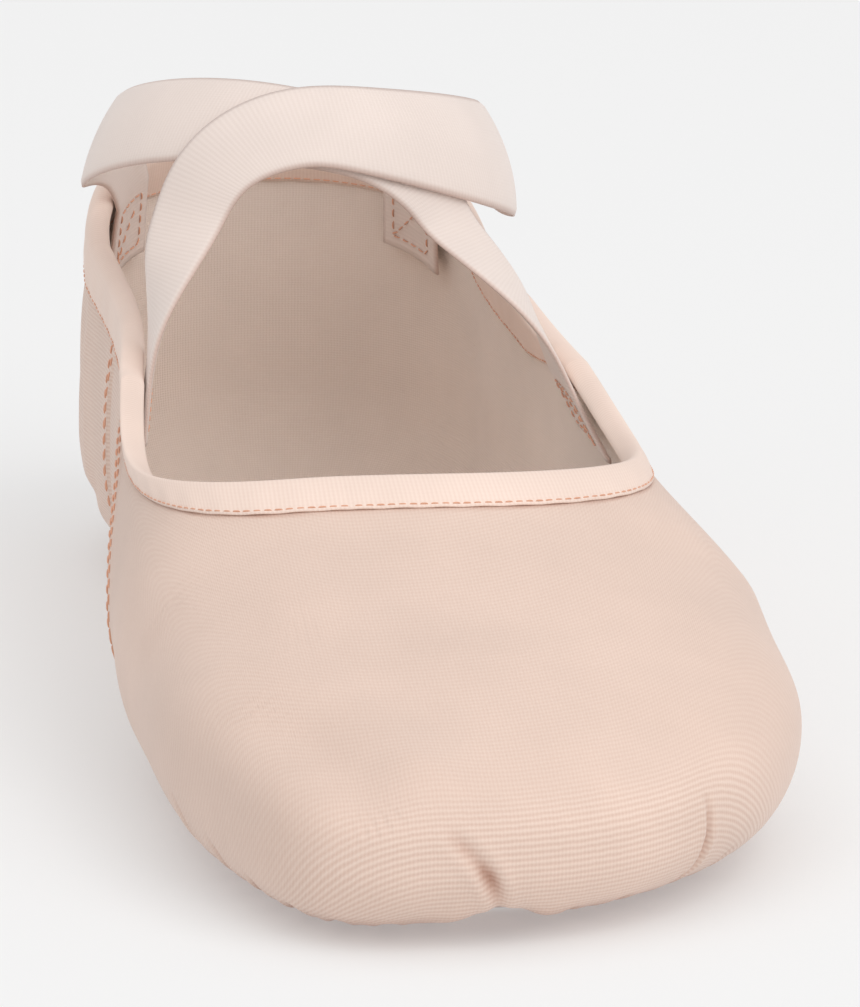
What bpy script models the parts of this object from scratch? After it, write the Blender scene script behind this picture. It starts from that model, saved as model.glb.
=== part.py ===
"""Left split-sole ballet shoe of stretch canvas, empty, in the shape of its last.

Metres, +Z up, on the floor at Z = 0. The toe points to -Y and the inner side is -X.
Lengths along the shoe are measured from the back of the heel, as shares of the shoe's length.
"""

import math
from collections import namedtuple

import bpy
import numpy as np

# Sizes of the last
shoe_length = 0.240
ball_width = 0.0900
heel_width = 0.062
instep_height = 0.0443
heel_height = 0.058
widest_height = 0.0218
arch_lift = 0.006
edge_roll = 0.0125

# Sizes of the cloth, suede and elastic
cloth = 0.0013
lap_step = 0.0005
lap_width = 0.008
lap_edge = 0.0004
binding_height = 0.0058
binding_cloth = 0.0008
suede_thickness = 0.0015
insole_thickness = 0.0012
strap_width = 0.0155
strap_thickness = 0.001
strap_tail = 0.014
strap_below_rim = 0.001
clearance = 0.0003

# Sizes of the patches, and how far the cloth's opening and the insole keep inside their edges
forefoot_patch_length = 0.068
heel_patch_length = 0.060
opening_inset = 0.009
insole_inset = 0.005
turned_edge = 0.0004

# Height of the elastics' crossing, and half-width of the rounded form that they go round
crossing_height = 0.0765
ankle_half_width = 0.032

# Shares of the length: where the toe's and heel's rounding starts, and the throat
toe_start = 0.672
heel_start = 0.17
throat_start = 0.43
throat_end = 0.672
arch_start = 0.26
arch_end = 0.63
tip_offset = -0.150

# Roundness: 2 is an ellipse, more is squarer
medial_toe_roundness = 2.15
lateral_toe_roundness = 2.6
heel_roundness = 2.3
section_roundness = 2.3
toe_fullness = 4.2
collar_highest = 0.98
throat_roundness = 2.9

# Medial and lateral edges are shares of the local width, and the crest of the ball width
Section = namedtuple("Section", "along medial lateral crest")
SECTIONS = (
    Section(heel_start, 0.590, 0.410, -0.062),
    Section(0.30, 0.525, 0.425, -0.075),
    Section(0.42, 0.508, 0.416, -0.100),
    Section(0.56, 0.494, 0.440, -0.135),
    Section(toe_start, 0.500, 0.500, tip_offset),
)

# Top over the instep height, widest line over its greatest height, collar over the heel's height
Profile = namedtuple("Profile", "along top widest collar")
PROFILE = (
    Profile(0.00, 2.00, 0.95, 1.00),
    Profile(0.08, 2.00, 0.95, 0.96),
    Profile(0.17, 1.97, 0.97, 0.86),
    Profile(0.30, 1.78, 1.04, 0.79),
    Profile(0.42, 1.58, 1.08, 0.77),
    Profile(0.55, 1.22, 0.98, 0.78),
    Profile(0.66, 1.00, 0.88, 0.76),
    Profile(0.80, 0.76, 0.74, 0.76),
    Profile(0.90, 0.63, 0.62, 0.76),
    Profile(1.00, 0.50, 0.52, 0.76),
)

# Lines of the upper that run from the bottom over the widest outline to the collar
Station = namedtuple("Station", "spine outline collar columns")
STATIONS = {
    "toe": Station(0.80, 1.00, throat_end, 0),
    "fore_seam": Station(0.655, 0.575, 0.417, 20),
    "heel_seam": Station(0.20, 0.26, 0.28, 7),
    "heel": Station(0.13, 0.00, 0.00, 10),
}
fan_share = 0.55
underside_rows = 7
side_rows = 9

# Outline of a patch: turn from the toe's direction towards the inner side, reach over half its length
Reach = namedtuple("Reach", "turn reach")
FOREFOOT_PATCH = (
    Reach(0, 1.00),
    Reach(30, 0.97),
    Reach(60, 0.90),
    Reach(90, 0.87),
    Reach(120, 0.94),
    Reach(137, 1.07),
    Reach(149, 1.14),
    Reach(158, 1.03),
    Reach(172, 0.93),
    Reach(188, 0.92),
    Reach(197, 1.02),
    Reach(207, 1.22),
    Reach(217, 1.20),
    Reach(235, 1.00),
    Reach(270, 0.88),
    Reach(300, 0.91),
    Reach(330, 0.96),
)
HEEL_PATCH = (
    Reach(0, 1.08),
    Reach(14, 1.00),
    Reach(40, 0.82),
    Reach(90, 0.69),
    Reach(135, 0.76),
    Reach(180, 0.92),
    Reach(225, 0.76),
    Reach(270, 0.69),
    Reach(320, 0.82),
    Reach(346, 1.00),
)
forefoot_patch_along = 0.775
forefoot_patch_across = -0.02
heel_patch_along = 0.145
patch_sides = 54
patch_rings = 5
insole_rings = 4

# The elastics: the side each starts on, its layer, where it starts and ends along the shoe, and the handles
# of its curve at both ends and at the crossing, over the rounded form's half-width
Handle = namedtuple("Handle", "out back up")
Strap = namedtuple("Strap", "side layer start end rising arriving leaving sinking")
STRAPS = {
    "strap_over": Strap(
        -1, 1, 0.397, 0.085,
        Handle(0.00, 0.02, 0.60), Handle(0.66, -0.08, 0.00), Handle(0.80, 0.20, -0.32), Handle(0.42, -0.50, 0.05),
    ),
    "strap_under": Strap(
        1, -1, 0.425, 0.085,
        Handle(0.02, 0.10, 0.50), Handle(0.55, -0.10, -0.05), Handle(0.85, 0.42, 0.04), Handle(0.42, -0.46, 0.22),
    ),
}
crossing_along = 0.335
strap_across = 4
strap_spans = 10
strap_clear_rise = 0.004
ankle_hold = 0.45

# Rounded form that the elastics lie on: centre along the length and over the crossing's height
ankle_along = 0.20
ankle_middle = 0.747
ankle_depth = 0.042
ankle_rise = 0.028

COLOURS = {
    "canvas": (0.84, 0.66, 0.55, 1.0),
    "binding": (0.83, 0.65, 0.57, 1.0),
    "suede": (0.82, 0.72, 0.69, 1.0),
    "insole": (0.80, 0.68, 0.60, 1.0),
    "elastic": (0.80, 0.68, 0.60, 1.0),
}
ROUGHNESS = {"canvas": 0.85, "binding": 0.75, "suede": 0.95, "insole": 0.9, "elastic": 0.7}

MEDIAL = -1
LATERAL = 1
DENSE = 160


# Reading the tables

def curve_through(table, column, along):
    """Value of a column of a table at a share of the length."""
    return smooth([row.along for row in table], [getattr(row, column) for row in table], along)


def smooth(x, y, wanted):
    """Value at x of a smooth curve through known values."""
    x = np.array(x, float)
    y = np.array(y, float)
    slope = np.gradient(y, x)
    wanted = np.clip(wanted, x[0], x[-1])
    i = np.clip(np.searchsorted(x, wanted) - 1, 0, len(x) - 2)
    step = x[i + 1] - x[i]
    p = (wanted - x[i]) / step
    start = y[i] * (1 + 2 * p) * (1 - p) ** 2 + slope[i] * step * p * (1 - p) ** 2
    end = y[i + 1] * p * p * (3 - 2 * p) + slope[i + 1] * step * p * p * (p - 1)
    return start + end


def local_width(along):
    """From the heel's width to the ball's width."""
    p = np.clip((along - heel_start) / (toe_start - heel_start), 0, 1)
    return heel_width + (ball_width - heel_width) * p * p * (3 - 2 * p)


def crest(along):
    """How far the highest line of the last lies to the side."""
    return ball_width * curve_through(SECTIONS, "crest", along)


def half_width(along, side):
    """From the crest to the widest line, on one side."""
    medial = local_width(along) * curve_through(SECTIONS, "medial", along) + crest(along)
    lateral = local_width(along) * curve_through(SECTIONS, "lateral", along) - crest(along)
    return np.where(side < 0, medial, lateral)


def top_height(along):
    return instep_height * curve_through(PROFILE, "top", along)


def widest_line(along):
    return widest_height * curve_through(PROFILE, "widest", along)


# The last as a height over each point of the plan

def place(x, y):
    """Where a point of the plan lies: its shares along the shoe and from the crest to the outline,
    its sideways share, the distance from crest to outline there, and how far it is in front at the toe.
    """
    along = y / shoe_length
    inner = np.clip(along, heel_start, toe_start)
    offset = x - crest(inner)
    half = half_width(inner, offset)
    across = np.abs(offset) / half
    ahead = np.clip((along - toe_start) / (1 - toe_start), 0, 1)
    behind = np.clip((heel_start - along) / heel_start, 0, 1)
    toe_roundness = np.where(offset < 0, medial_toe_roundness, lateral_toe_roundness)
    roundness = np.where(along > toe_start, toe_roundness, heel_roundness)
    share = (across**roundness + np.maximum(ahead, behind) ** roundness) ** (1 / roundness)
    facing = (across / np.maximum(share, 1e-9)) ** 2
    end = shoe_length * np.where(along > toe_start, 1 - toe_start, heel_start)
    reach = half * facing + end * (1 - facing)
    toe = np.where(along > toe_start, 1 - facing, 0)
    return along, np.minimum(share, 1), np.sign(offset) * across, reach, toe


def upper_side(x, y):
    """Height of the last's upper side over a point of the plan."""
    along, share, _, _, toe = place(x, y)
    low = widest_line(along)
    roundness = section_roundness + (toe_fullness - section_roundness) * toe
    return low + (top_height(along) - low) * (1 - share**roundness) ** (1 / roundness)


def underside(x, y):
    """Height of the cloth under a point of the plan: flat, lifted at the arch, rolled up at the edge."""
    along, share, sideways, reach, _ = place(x, y)
    arch = np.clip((along - arch_start) / (arch_end - arch_start), 0, 1)
    lift = arch_lift * np.sin(math.pi * arch) ** 2 * (1 - 0.3 * sideways)
    low = suede_thickness + clearance + lift
    flat = 1 - edge_roll / reach
    roll = np.clip((share - flat) / (1 - flat), 0, 1)
    return low + (widest_line(along) - low) * (1 - np.sqrt(1 - roll**2))


def under_offset(x, y, distance):
    """Height of a surface that keeps a distance from the underside, above it or, if negative, below."""
    step = 0.0005
    slope_x = (underside(x + step, y) - underside(x - step, y)) / (2 * step)
    slope_y = (underside(x, y + step) - underside(x, y - step)) / (2 * step)
    return underside(x, y) + distance * np.sqrt(1 + slope_x**2 + slope_y**2)


# Lines round the shoe, from the toe to the heel

def fan(roundness):
    """Shares ahead and across of a quarter of a rounded end, from its tip to its side."""
    turn = np.linspace(0, math.pi / 2, DENSE)
    return np.cos(turn) ** (2 / roundness), np.sin(turn) ** (2 / roundness)


def outline(side):
    """Widest line on one side, from the tip of the toe to the back of the heel, in plan."""
    ahead, across = fan(medial_toe_roundness if side == MEDIAL else lateral_toe_roundness)
    toe_y = toe_start + (1 - toe_start) * ahead
    toe_x = crest(toe_start) + side * half_width(toe_start, side) * across
    middle = np.linspace(toe_start, heel_start, DENSE)[1:-1]
    middle_x = crest(middle) + side * half_width(middle, side)
    ahead, across = fan(heel_roundness)
    heel_y = heel_start * (1 - ahead[::-1])
    heel_x = crest(heel_start) + side * half_width(heel_start, side) * across[::-1]
    x = np.concatenate([toe_x, middle_x, heel_x])
    y = shoe_length * np.concatenate([toe_y, middle, heel_y])
    return np.stack([x, y, widest_line(y / shoe_length)], axis=1)


def collar_share(along):
    """Share of the way from the crest to the outline at which the side reaches the collar's height."""
    low = widest_line(along)
    height = heel_height * curve_through(PROFILE, "collar", along)
    rise = np.clip((height - low) / (top_height(along) - low), 0, collar_highest)
    return (1 - rise**section_roundness) ** (1 / section_roundness)


def collar(side):
    """Edge of the opening on one side, from the middle of the throat to the back of the heel."""
    ahead, across = fan(throat_roundness)
    throat_y = throat_start + (throat_end - throat_start) * ahead
    throat_x = crest(throat_y) + side * half_width(throat_y, side) * collar_share(throat_start) * across
    middle = np.linspace(throat_start, heel_start, DENSE)[1:-1]
    middle_x = crest(middle) + side * half_width(middle, side) * collar_share(middle)
    ahead, across = fan(heel_roundness)
    share = collar_share(heel_start * (1 - ahead[::-1]))
    heel_y = heel_start * (1 - share * ahead[::-1])
    heel_x = crest(heel_start) + side * half_width(heel_start, side) * share * across[::-1]
    x = np.concatenate([throat_x, middle_x, heel_x])
    y = shoe_length * np.concatenate([throat_y, middle, heel_y])
    return np.stack([x, y, upper_side(x, y)], axis=1)


def lengths(points):
    steps = np.linalg.norm(np.diff(points, axis=0), axis=1)
    return np.concatenate([[0], np.cumsum(steps)])


def at_length(points, wanted):
    """Points at given lengths along a line of many points."""
    measured = lengths(points)
    return np.stack([np.interp(wanted, measured, points[:, k]) for k in range(3)], axis=1)


def station_lengths(points, shares):
    """Lengths at which a line from toe to heel passes shares of the shoe's length, its ends included."""
    measured = lengths(points)
    inner = [np.interp(-share * shoe_length, -points[:, 1], measured) for share in shares]
    return [0.0] + inner + [measured[-1]]


def spread(marks, gap):
    """Lengths of the columns from mark to mark, with the two sides of each seam a lap's edge apart."""
    counts = [station.columns for station in STATIONS.values()][1:]
    found = []
    for block, count in enumerate(counts):
        start = marks[block] + (gap if block else 0)
        end = marks[block + 1]
        found.append(np.linspace(start, end, count + 1))
    return np.concatenate(found)


def line_between(start, end, height, rows):
    """Points from start to end, straight in plan and on a surface, evenly spaced over it."""
    p = (1 - np.cos(np.linspace(0, math.pi, DENSE))) / 2
    x = start[0] + (end[0] - start[0]) * p
    y = start[1] + (end[1] - start[1]) * p
    z = height(x, y)
    z[0] = start[2]
    z[-1] = end[2]
    dense = np.stack([x, y, z], axis=1)
    return at_length(dense, np.linspace(0, lengths(dense)[-1], rows + 1))


def side_columns(side):
    """Columns of the upper on one side, from the toe to the heel, each from the bottom to the collar."""
    seams = [STATIONS["fore_seam"], STATIONS["heel_seam"]]
    edge = outline(side)
    mouth = collar(side)
    edge_points = at_length(edge, spread(station_lengths(edge, [s.outline for s in seams]), lap_edge))
    mouth_points = at_length(mouth, spread(station_lengths(mouth, [s.collar for s in seams]), lap_edge))
    columns = []
    for edge_point, mouth_point, along in zip(edge_points, mouth_points, spine_shares()):
        bottom = np.array([crest(along), along * shoe_length, 0.0])
        bottom[2] = underside(bottom[0], bottom[1])
        low = line_between(bottom, edge_point, underside, underside_rows)
        high = line_between(edge_point, mouth_point, upper_side, side_rows)
        columns.append(np.concatenate([low, high[1:]]))
    return np.array(columns)


def spine_shares():
    """Where each column starts on the bottom: a fan at the toe, along the middle, a fan at the heel."""
    toe, fore, rear, heel = STATIONS.values()
    p = np.clip(np.linspace(-fan_share / (1 - fan_share), 1, fore.columns + 1), 0, 1)
    front = toe.spine + (fore.spine - toe.spine) * p
    middle = np.linspace(fore.spine, rear.spine, rear.columns + 1)
    p = np.clip(np.linspace(0, 1 / (1 - fan_share), heel.columns + 1), 0, 1)
    return np.concatenate([front, middle, rear.spine + (heel.spine - rear.spine) * p])


def into_frame(points):
    """From the heel-based plan to the shoe's own frame, with the toe at -Y and the middle at zero."""
    points = np.array(points, float)
    points[..., 1] = shoe_length / 2 - points[..., 1]
    return points


def shell_grid():
    """Outer surface as columns round the shoe: toe, inner side, heel, outer side."""
    medial = side_columns(MEDIAL)
    lateral = side_columns(LATERAL)
    return into_frame(np.concatenate([medial, lateral[-2:0:-1]]))


def outward(grid):
    """Unit normals of a grid that closes round its columns."""
    wrapped = np.concatenate([grid[-1:], grid, grid[:1]])
    round_the_shoe = wrapped[2:] - wrapped[:-2]
    up = np.gradient(grid, axis=1)
    normal = np.cross(up, round_the_shoe)
    return normal / np.maximum(np.linalg.norm(normal, axis=2, keepdims=True), 1e-12)


def lap_raise(grid):
    """How far the vamp and heel panels stand out where they lap over the arch panel."""
    counts = [station.columns for station in STATIONS.values()]
    last_fore = counts[1]
    first_rear = counts[1] + counts[2] + 2
    total = len(grid)
    measured = lengths(grid[:, underside_rows])
    raised = np.zeros(total)
    for seam, way in ((last_fore, -1), (first_rear, 1), (total - last_fore, 1), (total - first_rear, -1)):
        for step in range(4):
            index = (seam + way * step) % total
            away = abs(measured[index] - measured[seam])
            raised[index] = max(raised[index], max(0, 1 - away / lap_width))
    below_collar = np.array([lengths(column)[-1] - lengths(column) for column in grid])
    under_binding = np.clip((below_collar - binding_height - clearance) / lap_width, 0, 1)
    out_of_patch = np.clip(np.arange(grid.shape[1]) / underside_rows * 2 - 1, 0, 1)
    return lap_step * raised[:, None] * under_binding * out_of_patch


# Objects

def material(name):
    made = bpy.data.materials.new(name)
    made.use_nodes = True
    shader = made.node_tree.nodes["Principled BSDF"]
    shader.inputs["Base Color"].default_value = COLOURS[name]
    shader.inputs["Roughness"].default_value = ROUGHNESS[name]
    shader.inputs["Metallic"].default_value = 0.0
    return made


def welded(points, faces):
    """Points at the same place made one, and faces without the corners that fell together."""
    index = {}
    merged = []
    kept = []
    for point in points:
        key = tuple(np.round(point, 7))
        if key not in index:
            index[key] = len(merged)
            merged.append(tuple(float(v) for v in point))
        kept.append(index[key])
    cleaned = []
    for face in faces:
        corners = [kept[i] for i in face]
        corners = [c for i, c in enumerate(corners) if c != corners[i - 1]]
        if len(corners) > 2:
            cleaned.append(corners)
    return merged, cleaned


def turned_out(points, faces):
    """The faces of a closed piece, turned so that they look outwards."""
    points = np.array(points)
    volume = 0.0
    for face in faces:
        for i in range(1, len(face) - 1):
            volume += np.dot(points[face[0]], np.cross(points[face[i]], points[face[i + 1]]))
    return faces if volume > 0 else [face[::-1] for face in faces]


def add_object(name, points, faces, finish, closed=True):
    points, faces = welded(points, faces)
    if closed:
        faces = turned_out(points, faces)
    mesh = bpy.data.meshes.new(name)
    mesh.from_pydata(points, [], faces)
    mesh.materials.append(bpy.data.materials.get(finish) or material(finish))
    mesh.shade_smooth()
    mesh.set_sharp_from_angle(angle=math.radians(40))
    made = bpy.data.objects.new(name, mesh)
    bpy.context.scene.collection.objects.link(made)
    return made


def grid_faces(columns, rows, wrap_columns, wrap_rows):
    """Faces between neighbouring columns and rows of a grid."""
    faces = []
    for c in range(columns if wrap_columns else columns - 1):
        here = c * rows
        there = (c + 1) % columns * rows
        for r in range(rows if wrap_rows else rows - 1):
            above = (r + 1) % rows
            faces.append((here + r, here + above, there + above, there + r))
    return faces


def cutter(name, outline_points, bottom, top):
    """A prism with a given outline, for an opening."""
    count = len(outline_points)
    low = [(x, y, bottom) for x, y in outline_points]
    high = [(x, y, top) for x, y in outline_points]
    faces = [tuple(range(count))[::-1], tuple(range(count, 2 * count))]
    faces += [(i, (i + 1) % count, count + (i + 1) % count, count + i) for i in range(count)]
    made = add_object(name, low + high, faces, "canvas")
    made.hide_render = True
    made.display_type = "WIRE"
    return made


# The sub-parts

def make_upper(grid):
    """Canvas shell: the outer surface with its laps, thickened inwards and open under the two patches."""
    columns, rows, _ = grid.shape
    surface = grid + outward(grid) * lap_raise(grid)[:, :, None]
    surface[:, 0] = grid[:, 0]
    faces = grid_faces(columns, rows, True, False)
    upper = add_object("upper", surface.reshape(-1, 3), faces, "canvas", closed=False)
    wall = upper.modifiers.new("wall", "SOLIDIFY")
    wall.thickness = cloth
    wall.offset = -1
    for name, *patch in patches():
        edge = patch_outline(*patch, opening_inset)[::-1]
        hole = cutter(name + "_opening", edge, -cloth, 3 * cloth + suede_thickness)
        cut = upper.modifiers.new(name, "BOOLEAN")
        cut.operation = "DIFFERENCE"
        cut.solver = "EXACT"
        cut.object = hole
    return upper


def make_binding(grid):
    """Tape folded over the collar edge, with a leg down each side of the cloth."""
    normal = outward(grid)
    middle = -cloth / 2
    inner_radius = cloth / 2 + clearance
    outer_radius = inner_radius + binding_cloth
    legs = np.linspace(0, 1, 3)
    section = [(middle + outer_radius, -leg) for leg in legs[::-1]]
    section += [(middle + outer_radius * math.cos(a), outer_radius * math.sin(a)) for a in turns(6)]
    section += [(middle - outer_radius, -leg) for leg in legs]
    section += [(middle - inner_radius, -leg) for leg in legs[::-1]]
    section += [(middle - inner_radius * math.cos(a), inner_radius * math.sin(a)) for a in turns(4)]
    section += [(middle + inner_radius, -leg) for leg in legs]
    points = []
    for column, normals in zip(grid, normal):
        away = lengths(column)[-1] - lengths(column)
        top = column[-1] - column[-2]
        top /= np.linalg.norm(top)
        for out, down in section:
            if down > 0:
                points.append(column[-1] + normals[-1] * out + top * down)
                continue
            below = -down * binding_height
            on_cloth = np.array([np.interp(-below, -away, column[:, k]) for k in range(3)])
            facing = np.array([np.interp(-below, -away, normals[:, k]) for k in range(3)])
            points.append(on_cloth + facing / np.linalg.norm(facing) * out)
    faces = grid_faces(len(grid), len(section), True, True)
    return add_object("collar_binding", points, faces, "binding")


def turns(count):
    """Angles strictly between 0 and a half turn."""
    return [math.pi * (i + 1) / count for i in range(count - 1)]


def patches():
    """Name, outline table, place and length of the two patches."""
    return (
        ("forefoot", FOREFOOT_PATCH, forefoot_patch_along, forefoot_patch_across, forefoot_patch_length),
        ("heel", HEEL_PATCH, heel_patch_along, crest(heel_patch_along) / ball_width, heel_patch_length),
    )


def patch_outline(table, along, across, length, inset):
    """Outline of a patch in plan, in the shoe's frame, or of something that keeps inside it."""
    turn = [row.turn for row in table]
    reach = [row.reach for row in table]
    turn = [t - 360 for t in turn] + turn + [t + 360 for t in turn]
    angles = np.arange(patch_sides) * 360 / patch_sides
    radius = length / 2 * smooth(turn, reach * 3, angles) - inset
    x = across * ball_width - radius * np.sin(np.radians(angles))
    y = along * shoe_length + radius * np.cos(np.radians(angles))
    return np.stack([x, shoe_length / 2 - y], axis=1)


def make_pad(name, patch, inset, low, thickness, rings, finish):
    """A pad that follows the underside: rings from the middle to the edge, the lower face first."""
    edge = patch_outline(*patch, inset)
    _, along, across, _ = patch
    centre = np.array([across * ball_width, shoe_length / 2 - along * shoe_length])
    layers = []
    for share, height in pad_section(rings):
        ring = centre + (edge - centre) * share
        if height not in (0, 1):
            pull = (edge - centre) / np.linalg.norm(edge - centre, axis=1, keepdims=True)
            ring = ring + pull * turned_edge
        z = under_offset(ring[:, 0], shoe_length / 2 - ring[:, 1], low + height * thickness)
        layers.append(np.column_stack([ring, z]))
    points = np.concatenate(layers)
    faces = grid_faces(len(layers), patch_sides, False, True)
    return add_object(name, points, faces, finish)


def pad_section(rings):
    """Share of the way to the edge and share of the thickness, round a pad's section, closer at the edge."""
    shares = [1 - (1 - ring / rings) ** 2 for ring in range(rings + 1)]
    return [(share, 0) for share in shares] + [(1, 0.5)] + [(share, 1) for share in shares[::-1]]


def make_soles():
    """Suede patches outside and insole pads inside, over the openings of the upper."""
    below = -(clearance + suede_thickness)
    above = cloth + clearance
    for name, *patch in patches():
        make_pad("sole_patch_" + name, patch, 0.0, below, suede_thickness, patch_rings, "suede")
        make_pad("insole_" + name, patch, insole_inset, above, insole_thickness, insole_rings, "insole")


def collar_band(grid, side, along, below):
    """Cross-section of an elastic inside the binding, some way below the collar or, if negative, above it."""
    half = len(grid) // 2
    order = np.arange(half + 1) * -side
    columns = grid[order]
    normals = outward(grid)[order]
    measured = lengths(columns[:, -1])
    middle = np.interp(shoe_length * (0.5 - along), columns[:, -1, 1], measured)
    inside = cloth + binding_cloth + 2 * clearance + strap_thickness / 2
    band = []
    for share in np.linspace(-0.5, 0.5, strap_across + 1):
        column = between(columns, measured, middle + share * strap_width * side)
        normal = between(normals, measured, middle + share * strap_width * side)
        down = lengths(column)[-1] - lengths(column)
        point = at_depth(column, down, below)
        facing = at_depth(normal, down, below)
        if below < 0:
            top = column[-1] - column[-2]
            point = column[-1] - top / np.linalg.norm(top) * below
        band.append(point - facing / np.linalg.norm(facing) * inside)
    return np.array(band)


def between(columns, measured, wanted):
    """The column that lies at a length round the collar."""
    i = int(np.clip(np.searchsorted(measured, wanted) - 1, 0, len(measured) - 2))
    p = (wanted - measured[i]) / (measured[i + 1] - measured[i])
    return columns[i] * (1 - p) + columns[i + 1] * p


def at_depth(column, down, below):
    return np.array([np.interp(-below, -down, column[:, k]) for k in range(3)])


def ankle_form():
    """Centre and reach of the rounded form, which stands over the heel."""
    centre = (crest(ankle_along), shoe_length * (0.5 - ankle_along), ankle_middle * crossing_height)
    return np.array(centre), np.array([ankle_half_width, ankle_depth, ankle_rise])


def on_ankle(point, lift):
    """The nearest place outwards or inwards on the rounded form, lifted off it."""
    centre, reach = ankle_form()
    away = (point - centre) / reach
    away = away / np.linalg.norm(away)
    return centre + away * reach + ankle_normal(point) * lift


def ankle_normal(point):
    """Outward direction of the rounded form at a point."""
    centre, reach = ankle_form()
    direction = (point - centre) / reach**2
    return direction / np.linalg.norm(direction)


def bent(start, start_handle, end_handle, end, shares):
    """Points of a cubic curve."""
    p = np.array(shares)[:, None]
    first = start * (1 - p) ** 3 + start_handle * 3 * p * (1 - p) ** 2
    return first + end_handle * 3 * p * p * (1 - p) + end * p**3


def strap_route(strap, start, end):
    """Middle points of the free part of an elastic, and how closely each lies on the rounded form."""
    over = np.array([crest(ankle_along), shoe_length * (0.5 - crossing_along), crossing_height])
    crossing = on_ankle(over, 0.0)

    def reach(handle, way):
        return ankle_half_width * np.array([way * handle.out, handle.back, handle.up])

    shares = np.arange(1, strap_spans) / strap_spans
    rising = start + reach(strap.rising, strap.side)
    arriving = crossing + reach(strap.arriving, strap.side)
    leaving = crossing + reach(strap.leaving, -strap.side)
    sinking = end + reach(strap.sinking, -strap.side)
    front = bent(start, rising, arriving, crossing, shares)
    rear = bent(crossing, leaving, sinking, end, shares)
    hold = np.clip(shares / ankle_hold, 0, 1)
    hold = hold * hold * (3 - 2 * hold)
    return np.concatenate([front, [crossing], rear]), np.concatenate([hold, [1], hold[::-1]])


def make_strap(name, grid):
    """Elastic from inside the collar on one side, over the instep, to inside the heel on the other side."""
    strap = STRAPS[name]
    depths = (strap_tail, strap_tail / 2, strap_below_rim, -strap_clear_rise)
    sections = [collar_band(grid, strap.side, strap.start, below) for below in depths]
    tail = [collar_band(grid, -strap.side, strap.end, below) for below in depths[::-1]]
    middle, holds = strap_route(strap, sections[-1].mean(axis=0), tail[0].mean(axis=0))
    tangents = np.gradient(middle, axis=0)
    shares = np.linspace(-0.5, 0.5, strap_across + 1)
    lift = strap.layer * (strap_thickness / 2 + clearance)
    for count, (centre, tangent, hold) in enumerate(zip(middle, tangents, holds)):
        sewn = sections[len(depths) - 1] if count < strap_spans else tail[0]
        width = np.cross(ankle_normal(centre), tangent)
        width /= np.linalg.norm(width)
        edge = (sewn[-1] - sewn[0]) / strap_width
        width = width * hold + edge * (1 - hold) * np.sign(width @ edge)
        width *= strap_width / np.linalg.norm(width)
        flat = np.array([centre + width * share for share in shares])
        lying = np.array([on_ankle(point, lift) for point in flat])
        sections.append(flat * (1 - hold) + lying * hold)
    sections += tail
    for before, section in zip(sections, sections[1:]):
        if (section[-1] - section[0]) @ (before[-1] - before[0]) < 0:
            section[:] = section[::-1].copy()
    return add_ribbon(name, np.array(sections), strap_thickness)


def add_ribbon(name, middle, thickness):
    """A closed strip of even thickness about a grid of points."""
    along = np.gradient(middle, axis=0)
    across = np.gradient(middle, axis=1)
    normal = np.cross(along, across)
    normal /= np.linalg.norm(normal, axis=2, keepdims=True)
    over = middle + normal * thickness / 2
    under = middle - normal * thickness / 2
    rings = np.concatenate([over, under[:, ::-1]], axis=1)
    count = rings.shape[1]
    faces = grid_faces(len(rings), count, False, True)
    last = (len(rings) - 1) * count
    faces.append(tuple(range(count))[::-1])
    faces.append(tuple(last + i for i in range(count)))
    return add_object(name, rings.reshape(-1, 3), faces, "elastic")


def main():
    for leftover in list(bpy.data.objects):
        bpy.data.objects.remove(leftover)
    grid = shell_grid()
    make_upper(grid)
    make_binding(grid)
    make_soles()
    for name in STRAPS:
        make_strap(name, grid)


main()
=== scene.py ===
"""Looks of a left ballet shoe: ribbed stretch canvas, folded collar tape, suede patches, elastics and thread.

The shoe stands on the floor with its toe to -Y and its inner side to -X. Lengths are in metres.
"""

import math
from collections import namedtuple

import bpy
import numpy as np
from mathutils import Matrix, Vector


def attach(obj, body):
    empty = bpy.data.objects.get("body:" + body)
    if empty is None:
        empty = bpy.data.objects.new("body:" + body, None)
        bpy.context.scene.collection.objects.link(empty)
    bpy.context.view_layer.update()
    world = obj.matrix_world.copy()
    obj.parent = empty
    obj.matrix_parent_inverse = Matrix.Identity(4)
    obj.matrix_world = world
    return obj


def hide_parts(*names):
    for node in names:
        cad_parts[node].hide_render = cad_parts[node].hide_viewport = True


bl_info = {
    "name": "Ballet Shoe",
    "version": (1, 0, 0),
    "blender": (4, 5, 0),
    "location": "View3D > Sidebar > Ballet Shoe",
    "description": "Dresses a ballet shoe in canvas, suede, tape, elastic and thread",
    "category": "Mesh",
}

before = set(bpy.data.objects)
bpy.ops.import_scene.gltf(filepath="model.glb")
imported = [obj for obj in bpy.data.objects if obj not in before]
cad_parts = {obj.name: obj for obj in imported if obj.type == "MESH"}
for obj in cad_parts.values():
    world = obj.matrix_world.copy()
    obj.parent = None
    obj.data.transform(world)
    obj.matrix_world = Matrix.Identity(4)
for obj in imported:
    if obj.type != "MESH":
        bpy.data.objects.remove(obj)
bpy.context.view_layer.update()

# Sizes of the last
shoe_length = 0.240
ball_width = 0.0900
heel_width = 0.062
instep_height = 0.0443
heel_height = 0.058
widest_height = 0.0218
arch_lift = 0.006
edge_roll = 0.0125

# Sizes of the cloth, suede and elastic
cloth = 0.0013
lap_step = 0.0005
lap_width = 0.008
lap_edge = 0.0004
binding_height = 0.0058
binding_cloth = 0.0008
suede_thickness = 0.0015
insole_thickness = 0.0012
strap_width = 0.0155
strap_thickness = 0.001
strap_tail = 0.014
strap_below_rim = 0.001
clearance = 0.0003

# Sizes of the patches, and how far the insole keeps inside them
forefoot_patch_length = 0.068
heel_patch_length = 0.060
opening_inset = 0.009
insole_inset = 0.005

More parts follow.
